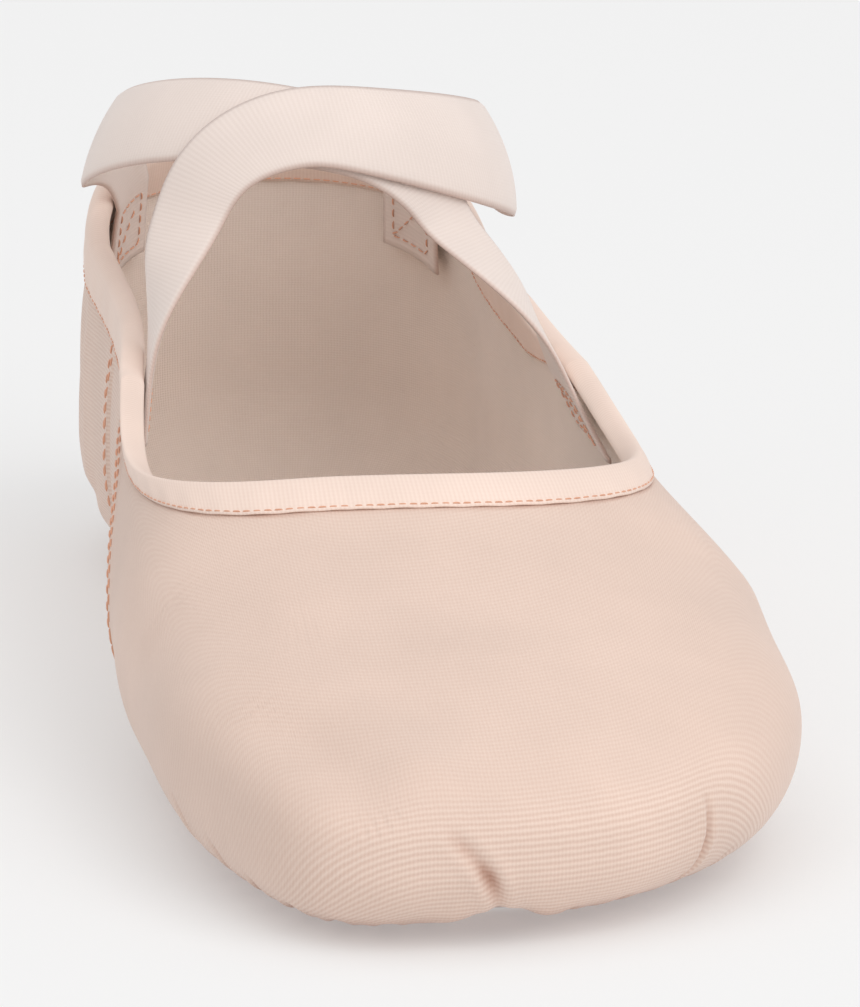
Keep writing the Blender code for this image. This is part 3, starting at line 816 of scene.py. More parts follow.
def faces_with_area(points, faces):
    """The faces that enclose some area, since rows meet in a point on the spine."""
    a, b, c, d = (points[faces[:, k]] for k in range(4))
    area = np.linalg.norm(np.cross(c - a, d - b), axis=1)
    return faces[area > 1e-12]


# Thread

def stitch_mesh(centres, ways, normals, size, width):
    """Points and faces of stitches: short rods whose ends go down into the cloth."""
    rings = 7
    sides = 6
    p = np.linspace(-1, 1, rings)
    girth = np.sqrt(np.clip(1 - p**4, 0.02, 1)) * width / 2
    rise = width * (0.34 - 0.7 * p**4)
    turn = np.arange(sides) * 2 * math.pi / sides
    across = np.cross(normals, ways)
    ways, normals, across = unit(ways), unit(normals), unit(across)
    points = (
        centres[:, None, None]
        + ways[:, None, None] * (p * size / 2)[None, :, None, None]
        + normals[:, None, None] * (rise[:, None] + girth[:, None] * np.sin(turn))[None, :, :, None]
        + across[:, None, None] * (girth[:, None] * np.cos(turn))[None, :, :, None]
    )
    one = grid_faces(rings, sides, False, True)
    faces = one[None] + (np.arange(len(centres)) * rings * sides)[:, None, None]
    return points.reshape(-1, 3), faces.reshape(-1, 4)


def along_row(points, normals, length, gap, sway=0.0):
    """Centres, directions and normals of stitches along a line, from side to side if it sways."""
    measured = lengths(points)
    count = max(1, int(measured[-1] / (length + gap)))
    starts = np.arange(count) * (length + gap)
    first = at_length(points, starts)
    last = at_length(points, starts + length)
    normal = unit(at_length_of(normals, measured, starts + length / 2))
    if sway:
        side = unit(np.cross(normal, last - first))
        first = first - side * sway * np.where(np.arange(count) % 2, 1, -1)[:, None]
        last = last + side * sway * np.where(np.arange(count) % 2, 1, -1)[:, None]
    return (first + last) / 2, last - first, normal


def at_length_of(values, measured, wanted):
    return np.stack([np.interp(wanted, measured, values[:, k]) for k in range(3)], axis=1)


class Thread:
    """Gathers rows of stitches into one mesh."""

    def __init__(self, sizes):
        self.sizes = sizes
        self.points = []
        self.faces = []
        self.count = 0

    def row(self, points, normals, sway=0.0, length=1.0, width=1.0, gap=1.0):
        size = self.sizes.stitch_length * length
        centres, ways, facing = along_row(points, normals, size, self.sizes.stitch_gap * gap, sway)
        made, faces = stitch_mesh(centres, ways, facing, size, self.sizes.thread_width * width)
        self.points.append(made)
        self.faces.append(faces + self.count)
        self.count += len(made)

    def piece(self, name, material):
        return add_piece(name, np.concatenate(self.points), np.concatenate(self.faces), material, "canvas")


# Patches

def patches():
    """Name, outline table, place and length of the two patches."""
    return (
        ("forefoot", FOREFOOT_PATCH, forefoot_patch_along, forefoot_patch_across, forefoot_patch_length),
        ("heel", HEEL_PATCH, heel_patch_along, crest(heel_patch_along) / ball_width, heel_patch_length),
    )


def patch_outline(table, along, across, length, inset, count=patch_points):
    """Outline of a patch in plan, in the shoe's frame, or of something that keeps inside it."""
    turn = [row.turn for row in table]
    reach = [row.reach for row in table]
    turn = [t - 360 for t in turn] + turn + [t + 360 for t in turn]
    angles = np.arange(count) * 360 / count
    radius = length / 2 * smooth(turn, reach * 3, angles) - inset
    x = across * ball_width - radius * np.sin(np.radians(angles))
    y = along * shoe_length + radius * np.cos(np.radians(angles))
    return np.stack([x, shoe_length / 2 - y], axis=1)


def inside_patch(points, inset):
    """Which points lie over a patch, in plan."""
    found = np.zeros(len(points), bool)
    for _, table, along, across, length in patches():
        edge = patch_outline(table, along, across, length, inset)
        centre = np.array([across * ball_width, shoe_length / 2 - along * shoe_length])
        away = points[:, :2] - centre
        turn = np.degrees(np.arctan2(-away[:, 0], -away[:, 1])) % 360
        reach = np.linalg.norm(edge - centre, axis=1)
        limit = np.interp(turn, np.arange(patch_points + 1) * 360 / patch_points, np.append(reach, reach[0]))
        found |= (np.linalg.norm(away, axis=1) < limit) & (points[:, 2] < 0.012)
    return found


def under_points(ring, distance):
    """Points at a distance from the underside, over or under places of the plan."""
    z = under_offset(ring[:, 0], shoe_length / 2 - ring[:, 1], distance)
    return np.column_stack([ring, z])


def pad_mesh(patch, inset, low, thickness, rounding):
    """Points, faces and lengths of a pad with a rounded edge that follows the underside."""
    table, along, across, length = patch
    edge = patch_outline(table, along, across, length, inset)
    centre = np.array([across * ball_width, shoe_length / 2 - along * shoe_length])
    pull = unit(edge - centre)
    shares = 1 - (1 - np.arange(patch_rows + 1) / patch_rows) ** 1.6
    layers = []
    for share in shares:
        layers.append(under_points(centre + (edge - centre) * share - pull * rounding * share, low))
    for turn in np.linspace(0, math.pi, 9)[1:-1]:
        ring = edge - pull * rounding * (1 - math.sin(turn))
        layers.append(under_points(ring, low + thickness * (1 - math.cos(turn)) / 2))
    for share in shares[::-1]:
        ring = centre + (edge - centre) * share - pull * rounding * share
        layers.append(under_points(ring, low + thickness))
    points = np.concatenate(layers)
    faces = grid_faces(len(layers), patch_points, False, True)
    if thickness > 0:
        faces = faces[:, ::-1]
    return points, faces, points[:, :2].copy()


# Elastics

def wrap_form():
    """Centre and reach of the form that the elastics wrap, which stands over the heel."""
    centre = (crest(wrap_along), shoe_length * (0.5 - wrap_along), wrap_middle * crossing_height)
    return np.array(centre), np.array([wrap_half_width, wrap_depth, wrap_rise])


def wrap_normal(point):
    """Outward direction of the wrapped form at a point."""
    centre, reach = wrap_form()
    return unit((point - centre) / reach**2)


def on_wrap(point, lift):
    """The nearest place outwards or inwards on the wrapped form, lifted off it."""
    centre, reach = wrap_form()
    away = unit((point - centre) / reach)
    return centre + away * reach + wrap_normal(point) * lift


def bent(start, start_handle, end_handle, end, shares):
    """Points of a cubic curve."""
    p = np.array(shares)[:, None]
    first = start * (1 - p) ** 3 + start_handle * 3 * p * (1 - p) ** 2
    return first + end_handle * 3 * p * p * (1 - p) + end * p**3


def strap_route(strap, start, end):
    """Middle points of the free part of an elastic, and how closely each lies on the wrapped form."""
    over = np.array([crest(wrap_along), shoe_length * (0.5 - crossing_along), crossing_height])
    crossing = on_wrap(over, 0.0)

    def reach(handle, way):
        return wrap_half_width * np.array([way * handle.out, handle.back, handle.up])

    shares = np.arange(1, strap_points_along) / strap_points_along
    rising = start + reach(strap.rising, strap.side)
    arriving = crossing + reach(strap.arriving, strap.side)
    leaving = crossing + reach(strap.leaving, -strap.side)
    sinking = end + reach(strap.sinking, -strap.side)
    front = bent(start, rising, arriving, crossing, shares)
    rear = bent(crossing, leaving, sinking, end, shares)
    hold = np.clip(shares / wrap_hold, 0, 1)
    hold = hold * hold * (3 - 2 * hold)
    return np.concatenate([front, [crossing], rear]), np.concatenate([hold, [1], hold[::-1]])


def collar_band(shell, side, along, below):
    """Cross-section of an elastic inside the binding, some way below the collar or, if negative, above it."""
    half = shell.columns // 2
    order = np.arange(half + 1) * -side
    columns = shell.flat[order]
    normals = shell.normals[order]
    measured = lengths(columns[:, -1])
    middle = np.interp(shoe_length * (0.5 - along), columns[:, -1, 1], measured)
    inside = cloth + binding_cloth + 2 * clearance + strap_thickness / 2
    band = []
    for share in np.linspace(-0.5, 0.5, strap_points_across + 1):
        column = between(columns, measured, middle + share * strap_width * side)
        normal = between(normals, measured, middle + share * strap_width * side)
        down = lengths(column)[-1] - lengths(column)
        point = at_depth(column, down, below)
        facing = at_depth(normal, down, below)
        if below < 0:
            top = column[-1] - column[-2]
            point = column[-1] - top / np.linalg.norm(top) * below
        band.append(point - facing / np.linalg.norm(facing) * inside)
    return np.array(band)


def between(columns, measured, wanted):
    """The column that lies at a length round the collar."""
    i = int(np.clip(np.searchsorted(measured, wanted) - 1, 0, len(measured) - 2))
    p = (wanted - measured[i]) / (measured[i + 1] - measured[i])
    return columns[i] * (1 - p) + columns[i + 1] * p


def at_depth(column, down, below):
    return np.array([np.interp(-below, -down, column[:, k]) for k in range(3)])


def strap_surface(shell, name):
    """Middle surface of an elastic: sections from inside the collar over the instep to inside the heel."""
    strap = STRAPS[name]
    depths = [*np.linspace(strap_tail, strap_below_rim, strap_depths - 1), -strap_clear_rise]
    sections = [collar_band(shell, strap.side, strap.start, below) for below in depths]
    tail = [collar_band(shell, -strap.side, strap.end, below) for below in depths[::-1]]
    middle, holds = strap_route(strap, sections[-1].mean(axis=0), tail[0].mean(axis=0))
    tangents = np.gradient(middle, axis=0)
    shares = np.linspace(-0.5, 0.5, strap_points_across + 1)
    lift = strap.layer * (strap_thickness / 2 + clearance)
    for count, (centre, tangent, hold) in enumerate(zip(middle, tangents, holds)):
        sewn = sections[len(depths) - 1] if count < strap_points_along else tail[0]
        width = unit(np.cross(wrap_normal(centre), tangent))
        edge = (sewn[-1] - sewn[0]) / strap_width
        width = unit(width * hold + edge * (1 - hold) * np.sign(width @ edge)) * strap_width
        flat = np.array([centre + width * share for share in shares])
        lying = np.array([on_wrap(point, lift) for point in flat])
        sections.append(flat * (1 - hold) + lying * hold)
    sections += tail
    for before, section in zip(sections, sections[1:]):
        if (section[-1] - section[0]) @ (before[-1] - before[0]) < 0:
            section[:] = section[::-1].copy()
    surface = np.array(sections)
    first = len(depths)
    for _ in range(10):
        inner = (surface[:-2] + surface[2:]) / 2
        surface[first - 1:-first + 1] = (surface[first - 1:-first + 1] + inner[first - 2:-first + 2]) / 2
    return surface


def strap_mesh(middle):
    """Points, faces, lengths and painted edge shade of a strip with a bead along each edge."""
    along = np.gradient(middle, axis=0)
    across = np.gradient(middle, axis=1)
    normal = unit(np.cross(along, across))
    share = np.linspace(-1, 1, middle.shape[1])
    bead = np.exp(-(((np.abs(share) - 0.93) / 0.06) ** 2))
    half = strap_thickness / 2 * (0.82 + 0.18 * bead) * np.sqrt(np.clip(1 - np.abs(share) ** 14, 0.05, 1))
    over = middle + normal * half[None, :, None]
    under = middle - normal * half[None, :, None]
    rings = np.concatenate([over, under[:, ::-1]], axis=1)
    count = rings.shape[1]
    run = lengths(middle[:, middle.shape[1] // 2])
    width = np.concatenate([share, share[::-1]]) * strap_width / 2
    uv = np.stack(np.broadcast_arrays(width[None, :], run[:, None]), axis=-1)
    faces = grid_faces(len(rings), count, False, True)
    ends = [[i, i + 1, count - 2 - i, count - 1 - i] for i in range(count // 2 - 1)]
    last = (len(rings) - 1) * count
    caps = np.array([face[::-1] for face in ends] + [[last + i for i in face] for face in ends])
    # Painted shade along the elastic's edges, which the depth mark carries
    edge = elastic_edge_shade * np.clip(np.abs(np.concatenate([share, share[::-1]])) * 8 - 7, 0, 1)
    edge = np.broadcast_to(edge, (len(rings), count)).reshape(-1)
    return rings.reshape(-1, 3), np.concatenate([faces, caps]), uv.reshape(-1, 2), edge


# Finishes

def add_node(tree, kind, values=None, links=None, **settings):
    """A node of a finish, with its settings, the values of its sockets and what feeds them."""
    made = tree.nodes.new("ShaderNode" + kind)
    for key, value in settings.items():
        setattr(made, key, value)
    for key, value in (values or {}).items():
        made.inputs[key].default_value = value
    for key, source in (links or {}).items():
        tree.links.new(source, made.inputs[key])
    return made


def new_finish(name, roughness, sheen, sheen_roughness=0.5):
    """A finish with the dullness and sheen of its shader."""
    made = bpy.data.materials.new(name)
    made.use_nodes = True
    shader = made.node_tree.nodes["Principled BSDF"]
    shader.inputs["Roughness"].default_value = roughness
    shader.inputs["Sheen Weight"].default_value = sheen
    shader.inputs["Sheen Roughness"].default_value = sheen_roughness
    shader.inputs["Specular IOR Level"].default_value = 0.3
    return made, made.node_tree, shader


def wave_scale(pitch):
    """Scale of a wave texture whose bands lie a pitch apart: it makes a band in each tenth of pi."""
    return math.pi / 10 / pitch


def woven(name, high, low, rib, weave, opened=False):
    """Cloth with ribs along its first direction and finer threads across them, with painted shade in its grooves
    and creases.
    """
    made, tree, shader = new_finish(name, weave.roughness, weave.sheen)
    lengths_map = add_node(tree, "UVMap", uv_map="weave").outputs["UV"]
    ribs = add_node(
        tree, "TexWave",
        {"Scale": wave_scale(rib), "Distortion": weave.distortion, "Detail": 1.5, "Detail Scale": 1.5},
        {"Vector": lengths_map}, wave_type="BANDS", bands_direction="Y",
    ).outputs["Fac"]
    threads = add_node(
        tree, "TexWave",
        {"Scale": wave_scale(weave.thread), "Distortion": weave.distortion * 1.5, "Detail": 1.0},
        {"Vector": lengths_map}, wave_type="BANDS", bands_direction="X",
    ).outputs["Fac"]
    if opened:
        stretch = add_node(tree, "Attribute", attribute_name="stretch").outputs["Fac"]
        ribs = add_node(tree, "Mix", {2: 0.5}, {0: stretch, 3: ribs}, data_type="FLOAT").outputs[0]
    face = add_node(tree, "Mix", {0: weave.cross}, {2: ribs, 3: threads}, data_type="FLOAT").outputs[0]
    fuzz = add_node(
        tree, "TexNoise", {"Scale": 2600.0, "Detail": 3.0, "Roughness": 0.7},
        {"Vector": add_node(tree, "TexCoord").outputs["Object"]},
    ).outputs["Fac"]
    cloud = add_node(
        tree, "TexNoise", {"Scale": 34.0, "Detail": 3.0, "Roughness": 0.55},
        {"Vector": add_node(tree, "TexCoord").outputs["Object"]},
    ).outputs["Fac"]
    height = add_node(tree, "Mix", {0: 0.3}, {2: face, 3: fuzz}, data_type="FLOAT").outputs[0]
    # Painted shade between the ribs: the darker groove colour where the weave lies low
    mixed = add_node(tree, "Mix", {6: low, 7: high}, {0: height}, data_type="RGBA").outputs[2]
    tone = add_node(
        tree, "MapRange", {"From Min": 0.35, "From Max": 0.7, "To Min": 0.94, "To Max": 1.03},
        {"Value": cloud},
    ).outputs["Result"]
    coloured = add_node(
        tree, "Mix", {0: 1.0}, {6: mixed, 7: tone}, data_type="RGBA", blend_type="MULTIPLY",
    ).outputs[2]
    # Painted shade from the depth mark, in the painted shade colour
    depth = add_node(tree, "Attribute", attribute_name="depth").outputs["Fac"]
    coloured = add_node(
        tree, "Mix", {7: linear(painted_shade_colour)}, {0: depth, 6: coloured}, data_type="RGBA", blend_type="MULTIPLY",
    ).outputs[2]
    tree.links.new(coloured, shader.inputs["Base Color"])
    bump = add_node(tree, "Bump", {"Strength": 0.8, "Distance": weave.relief}, {"Height": height})
    tree.links.new(bump.outputs["Normal"], shader.inputs["Normal"])
    return made


def napped(name, high, low, shade):
    """Split leather with a raised nap: it gives the eye a matt, speckled face without shine."""
    made, tree, shader = new_finish(name, 0.95, 0.45, 0.6)
    where = add_node(tree, "TexCoord").outputs["Object"]
    nap = add_node(
        tree, "TexNoise", {"Scale": 1500.0, "Detail": 4.0, "Roughness": 0.75}, {"Vector": where},
    ).outputs["Fac"]
    strokes = add_node(
        tree, "TexNoise", {"Scale": 60.0, "Detail": 4.0, "Roughness": 0.6, "Distortion": 0.6},
        {"Vector": where},
    ).outputs["Fac"]
    both = add_node(tree, "Mix", {0: 0.4}, {2: nap, 3: strokes}, data_type="FLOAT").outputs[0]
    spread_out = add_node(
        tree, "MapRange", {"From Min": 0.35, "From Max": 0.62, "To Min": 0.0, "To Max": 1.0}, {"Value": both},
    ).outputs["Result"]
    mixed = add_node(tree, "Mix", {6: low, 7: high}, {0: spread_out}, data_type="RGBA").outputs[2]
    # Painted shade from the depth mark, in the given shade colour
    depth = add_node(tree, "Attribute", attribute_name="depth").outputs["Fac"]
    with_painted_shade = add_node(
        tree, "Mix", {7: shade}, {0: depth, 6: mixed}, data_type="RGBA", blend_type="MULTIPLY",
    ).outputs[2]
    tree.links.new(with_painted_shade, shader.inputs["Base Color"])
    bump = add_node(tree, "Bump", {"Strength": 0.9, "Distance": 0.00022}, {"Height": both})
    tree.links.new(bump.outputs["Normal"], shader.inputs["Normal"])
    return made


def twisted_thread(name, colour):
    """Polyester sewing thread: two strands twisted, with a soft gloss on each."""
    made, tree, shader = new_finish(name, 0.5, 0.2)
    where = add_node(tree, "TexCoord").outputs["Object"]
    tone = add_node(tree, "TexNoise", {"Scale": 900.0, "Detail": 2.0}, {"Vector": where}).outputs["Fac"]
    dark = tuple(c * 0.82 for c in colour[:3]) + (1.0,)
    mixed = add_node(tree, "Mix", {6: dark, 7: tuple(colour)}, {0: tone}, data_type="RGBA").outputs[2]
    tree.links.new(mixed, shader.inputs["Base Color"])
    bump = add_node(tree, "Bump", {"Strength": 0.5, "Distance": 0.00008}, {"Height": tone})
    tree.links.new(bump.outputs["Normal"], shader.inputs["Normal"])
    return made


def finish(name):
    """A finish by its name, made on first use."""
    made = bpy.data.materials.get(name)
    if made:
        return made
    colours = bpy.context.scene.ballet_colours
    sizes = bpy.context.scene.ballet_sizes
    if name == "stretch canvas, rib weave":
        # Cotton canvas woven with elastic: the eye sees fine ribs round the shoe and a dry, peach-pink face
        return woven(name, colours.canvas, colours.canvas_groove, sizes.rib_pitch, CANVAS_WEAVE, opened=True)
    if name == "cotton lining, plain weave":
        # Thin cotton: the eye sees an even, paler grain with no gloss
        return woven(name, colours.lining, colours.lining_groove, lining_rib, LINING_WEAVE)
    if name == "cotton tape, folded":
        # Narrow woven tape pressed over the edge: the eye sees a smoother, slightly paler band
        return woven(name, colours.binding, colours.binding_groove, tape_rib, TAPE_WEAVE)
    if name == "ribbed elastic, woven":
        # Rubber threads covered with polyester: the eye sees fine ribs across the band and a silky gloss
        return woven(name, colours.elastic, colours.elastic_groove, sizes.elastic_rib, ELASTIC_WEAVE)
    if name == "insole cotton, twill":
        # Cotton over thin foam: the eye sees a slanted grain, a little darker than the lining
        return woven(name, colours.insole, colours.lining_groove, twill_rib, TWILL_WEAVE)
    if name == "pigskin suede, brushed":
        # Split leather brushed to a nap: the eye sees a matt, greyish pink with cloudy strokes and no gloss
        # D8C3BA is the colour of the suede's painted shade
        return napped(name, colours.suede, colours.suede_dark, linear("#D8C3BA"))
    if name == "coral polyester thread":
        # Twisted thread of the seams: the eye sees short dashes, a little shinier and redder than the canvas
        return twisted_thread(name, colours.coral_thread)
    if name == "brown polyester thread":
        # The same thread dyed mauve brown: the eye sees the one dark line on the sole
        return twisted_thread(name, colours.brown_thread)
    raise ValueError("no finish is called " + name)


# Pieces

made_shells = {}


def cloth_shell():
    """The fine grid of the upper with its folds and its painted shade, made once."""
    if "cloth" not in made_shells:
        shell = Shell(CLOTH_FINENESS)
        depth_share = bpy.context.scene.ballet_sizes.fold_depth
        folds = fold_relief(shell, TUCK + TOE_PLEATS + TOE_HOLLOWS + ARCH_FOLDS + HEEL_FOLDS) * depth_share
        below = shell.up[:, -1:] - shell.up
        calm = np.clip((below - binding_height) / 0.006, 0, 1)
        swells = swell_relief(shell)
        shell.relief = (folds + swells + slow_waves(shell)) * calm
        # Painted shade, kept as the depth mark: darker in the troughs of the toe's folds, in deep hollows, along
        # the tape's lower edge and near the floor
        trough = fold_shade * np.clip(-fold_relief(shell, TUCK + TOE_PLEATS) / full_fold, 0, 1)
        trough += np.clip(-swells / full_hollow - hollow_shade_start, 0, 1)
        at_tape = tape_shade * np.exp(-(((below - binding_height * tape_share) / 0.0004) ** 2))
        at_floor = floor_shade * np.clip(1.6 - shell.flat[..., 2] / floor_shade_height, 0, 1)
        shell.shade = np.clip(trough + at_tape + at_floor, 0, 1)
        shell.guide = from_guide(shell)
        open_share = np.clip((rib_closed_from - shell.guide) / (rib_closed_from - rib_open_until), 0, 1)
        shell.stretch = 0.25 + 0.6 * open_share * open_share * (3 - 2 * open_share)
        shell.surface = shell.flat + shell.normals * (shell.lap() + shell.relief)[:, :, None]
        shell.facing = outward(shell.surface)
        made_shells["cloth"] = shell
    return made_shells["cloth"]


def side_weave(shell):
    """Lengths of the weave at arch and heel: round the shoe and up its side."""
    sizes = bpy.context.scene.ballet_sizes
    round_the_shoe = np.broadcast_to(shell.round[:, None], shell.up.shape)
    return np.stack([round_the_shoe, shell.rise * sizes.rib_pitch / sizes.side_rib_pitch], axis=-1)


def vamp_weave(shell):
    """Lengths of the weave on the vamp: across it, and away from the gathers under the toe."""
    return np.stack([shell.across(), shell.guide], axis=-1)


def panel_columns(shell, panel):
    """Columns of a panel in order round the shoe, with the next panel's first column as the lap's wall."""
    total = shell.columns
    if panel == "vamp":
        return np.arange(-shell.fore_seam - 1, shell.fore_seam + 2) % total
    if panel == "heel":
        return np.arange(shell.heel_seam, total - shell.heel_seam + 1) % total
    if panel == "arch_inner":
        return np.arange(shell.fore_seam + 1, shell.heel_seam + 1)
    return np.arange(total - shell.heel_seam, total - shell.fore_seam)


def make_panel(name, panel):
    """One panel of the upper's outer cloth."""
    shell = cloth_shell()
    columns = panel_columns(shell, panel)
    points = shell.surface[columns].reshape(-1, 3)
    rows = shell.rows
    faces = grid_faces(len(columns), rows, False, False)
    weave = vamp_weave(shell) if panel == "vamp" else side_weave(shell)
    stretch = shell.stretch[columns] if panel == "vamp" else np.full(shell.flat[columns].shape[:2], 0.75)
    faces = faces[~inside_patch(points[faces].mean(axis=1), opening_inset)]
    faces = faces_with_area(points, faces)
    # The depth mark carries the painted shade into the canvas's colour
    return add_piece(
        name, points, faces, finish("stretch canvas, rib weave"), "canvas", weave[columns].reshape(-1, 2),
        depth=shell.shade[columns].reshape(-1), stretch=stretch.reshape(-1),
    )


def surface_line(shell, columns_rows):
    """Points and normals of the dressed surface at fractional columns and rows."""
    points, normals = [], []
    for column, row in columns_rows:
        c0, r0 = int(math.floor(column)), int(min(row, shell.rows - 2))
        c, r = column - c0, row - r0
        for found, source in ((points, shell.surface), (normals, shell.facing)):
            here = source[c0 % shell.columns] * (1 - c) + source[(c0 + 1) % shell.columns] * c
            found.append(here[r0] * (1 - r) + here[r0 + 1] * r)
    return np.array(points), unit(np.array(normals))


def seam_line(shell, seam, way, offset):
    """Line at a distance from a seam's edge, from the underside up to the binding."""
    places = []
    for row in range(shell.rows):
        if shell.up[seam % shell.columns, -1] - shell.up[seam % shell.columns, row] < binding_height:
            break
        here = shell.surface[seam % shell.columns, row]
        gone, column = 0.0, float(seam)
        for _ in range(40):
            there = shell.surface[(int(column) + way) % shell.columns, row]
            step = np.linalg.norm(there - here)
            if gone + step > offset:
                column += way * (offset - gone) / max(step, 1e-9)
                break
            gone += step
            column += way
            here = there
        places.append((column, row))
    points, normals = surface_line(shell, places)
    outside = ~inside_patch(points, -0.0005)
    return points[outside], normals[outside]


def collar_line(shell, below):
    """Line round the collar at a distance below it, closed."""
    places = []
    for column in range(shell.columns):
        down = shell.up[column, -1] - shell.up[column]
        places.append((column, np.interp(-below, -down, np.arange(shell.rows))))
    points, normals = surface_line(shell, places)
    return np.concatenate([points, points[:1]]), np.concatenate([normals, normals[:1]])


def back_seam(shell):
    """Line down the middle of the heel, from the tape to the heel patch."""
    middle = shell.columns // 2
    below = shell.up[middle, -1] - shell.up[middle]
    rows = [row for row in range(shell.rows) if below[row] > binding_height * 1.25]
    points, normals = surface_line(shell, [(middle, row) for row in rows])
    outside = ~inside_patch(points, -0.0005)
    return points[outside], normals[outside]


def sewn_box(tail):
    """Line of a sewn box with a cross in it, on the inner face of an elastic's end."""
    near, far, left, right = 2, len(tail) - 3, 3, tail.shape[1] - 4
    corners = ((near, left), (near, right), (far, right), (far, left), (near, left), (far, right))
    line = []
    for (r0, c0), (r1, c1) in zip(corners, corners[1:]):
        for p in np.linspace(0, 1, 12, endpoint=False):
            row, column = r0 + (r1 - r0) * p, c0 + (c1 - c0) * p
            r, c = int(row), int(column)
            here = tail[r, c] * (1 - column + c) + tail[r, c + 1] * (column - c)
            there = tail[r + 1, c] * (1 - column + c) + tail[r + 1, c + 1] * (column - c)
            line.append(here * (1 - row + r) + there * (row - r))
    line = np.array(line)
    facing = np.cross(tail[far, left] - tail[near, left], tail[near, right] - tail[near, left])
    inwards = np.array([crest(wrap_along), line[:, 1].mean(), line[:, 2].mean()]) - line.mean(axis=0)
    facing = unit(facing * np.sign(facing @ inwards))
    return line + facing * strap_thickness / 2, np.tile(facing, (len(line), 1))


def piping_mesh(patch):
    """Points and faces of the thin lip of cloth round a patch."""
    ring = patch_outline(*patch, -piping_radius * 0.4)
    centre_line = under_points(ring, -piping_radius)
    out = unit(np.column_stack([ring - ring.mean(axis=0), np.zeros(len(ring))]))
    turn = np.arange(8) * math.pi / 4
    up = np.array([0.0, 0.0, 1.0])
    points = (
        centre_line[:, None]
        + out[:, None] * (np.cos(turn) * piping_radius)[None, :, None]
        + up * (np.sin(turn) * piping_radius)[None, :, None]
    )
    return points.reshape(-1, 3), grid_faces(len(ring), 8, True, True)


def binding_mesh(shell):
    """Points, faces and lengths of the tape folded over the collar edge."""
    middle = -cloth / 2
    inner_radius = cloth / 2 + clearance / 2
    outer_radius = cloth / 2 + clearance + binding_cloth
    drops = np.linspace(0, 1, 12)
    out = outer_radius + 0.0001 * np.sin(math.pi * drops) - tape_tuck * drops**1.3
    section = [(middle + o, -drop) for drop, o in zip(drops[::-1], out[::-1])]
    turn = math.pi * np.arange(1, 12) / 12
    section += [(middle + outer_radius * math.cos(a), outer_radius * math.sin(a)) for a in turn]
    section += [(middle - o, -drop) for drop, o in zip(drops, out)]
    section += [(middle - inner_radius, -1.0), (middle - inner_radius, 0.0)]
    section += [(middle + inner_radius, 0.0), (middle + inner_radius, -1.0)]
    section = np.array(section)
    run = np.concatenate([[0], np.cumsum(np.linalg.norm(np.diff(shell.flat[:, -1], axis=0), axis=1))])
    points, uv = [], []
    face_run = np.cumsum(np.abs(np.gradient(section[:, 1])) + 0.02) * binding_height
    for index, (column, normals) in enumerate(zip(shell.flat, shell.normals)):
        away = lengths(column)[-1] - lengths(column)
        top = unit(column[-1] - column[-2])
        pucker = tape_pucker * math.sin(run[index] * 2 * math.pi / tape_pucker_pitch)
        for place_in_section, (out, down) in enumerate(section):
            if down > 0:
                point = column[-1] + normals[-1] * out + top * down
            else:
                below = -down * binding_height * tape_share
                on_cloth = np.array([np.interp(-below, -away, column[:, k]) for k in range(3)])
                facing = unit(np.array([np.interp(-below, -away, normals[:, k]) for k in range(3)]))
                point = on_cloth + facing * (out + pucker * min(1.0, -down * 2))
            points.append(point)
            uv.append((face_run[place_in_section], run[index]))
    faces = grid_faces(shell.columns, len(section), True, True)
    return np.array(points), faces, np.array(uv)


class BALLET_OT_upper(bpy.types.Operator):
    """Outer cloth of the upper: vamp, two arch panels and heel panel, with laps and folds"""

    bl_idname = "ballet.upper"
    bl_label = "Upper Panels"

    def execute(self, context):
        vamp = make_panel("vamp", "vamp")
        make_panel("arch_panel_inner", "arch_inner")
        make_panel("arch_panel_outer", "arch_outer")
        make_panel("heel_panel", "heel")
        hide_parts("upper")
        return {"FINISHED"}


class BALLET_OT_lining(bpy.types.Operator):
    """Cotton lining inside the upper"""

    bl_idname = "ballet.lining"
    bl_label = "Lining"

    def execute(self, context):
        shell = Shell(LINING_FINENESS)
        wider = [fold._replace(width=fold.width * 2, depth=fold.depth * 1.2) for fold in TUCK + TOE_PLEATS]
        relief = np.minimum(fold_relief(shell, wider), 0) + np.minimum(swell_relief(shell), 0)
        points = (shell.flat + shell.normals * (relief - cloth)[:, :, None]).reshape(-1, 3)
        faces = grid_faces(shell.columns, shell.rows, True, False)[:, ::-1]
        faces = faces[~inside_patch(points[faces].mean(axis=1), opening_inset)]
        faces = faces_with_area(points, faces)
        weave = side_weave(shell).reshape(-1, 2)
        add_piece("lining", points, faces, finish("cotton lining, plain weave"), "canvas", weave)
        return {"FINISHED"}


class BALLET_OT_binding(bpy.types.Operator):
    """Tape folded over the edge of the collar"""

    bl_idname = "ballet.binding"
    bl_label = "Collar Tape"

    def execute(self, context):
        points, faces, uv = binding_mesh(cloth_shell())
        made = add_piece("collar_tape", points, faces, finish("cotton tape, folded"), "binding", uv)
        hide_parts("collar_binding")
        return {"FINISHED"}


class BALLET_OT_soles(bpy.types.Operator):
    """Suede patches under the ball and the heel, and the thin insoles over them"""

    bl_idname = "ballet.soles"
    bl_label = "Patches and Insoles"

    def execute(self, context):
        for name, *patch in patches():
            points, faces, uv = pad_mesh(patch, 0.0, -clearance, -suede_thickness, 0.0006)
            suede = finish("pigskin suede, brushed")
            made = add_piece("suede_patch_" + name, points, faces, suede, "suede", uv)
            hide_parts("sole_patch_" + name)
            points, faces = piping_mesh(patch)
            add_piece("patch_lip_" + name, points, faces, finish("coral polyester thread"), "suede")
            points, faces, uv = pad_mesh(patch, insole_inset, cloth + clearance, insole_thickness, 0.0005)
            turned = np.stack([uv[:, 0] + uv[:, 1], uv[:, 0] - uv[:, 1]], axis=1) / math.sqrt(2)
            made = add_piece(
                "insole_pad_" + name, points, faces, finish("insole cotton, twill"), "insole", turned,
            )
            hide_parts("insole_" + name)
        return {"FINISHED"}


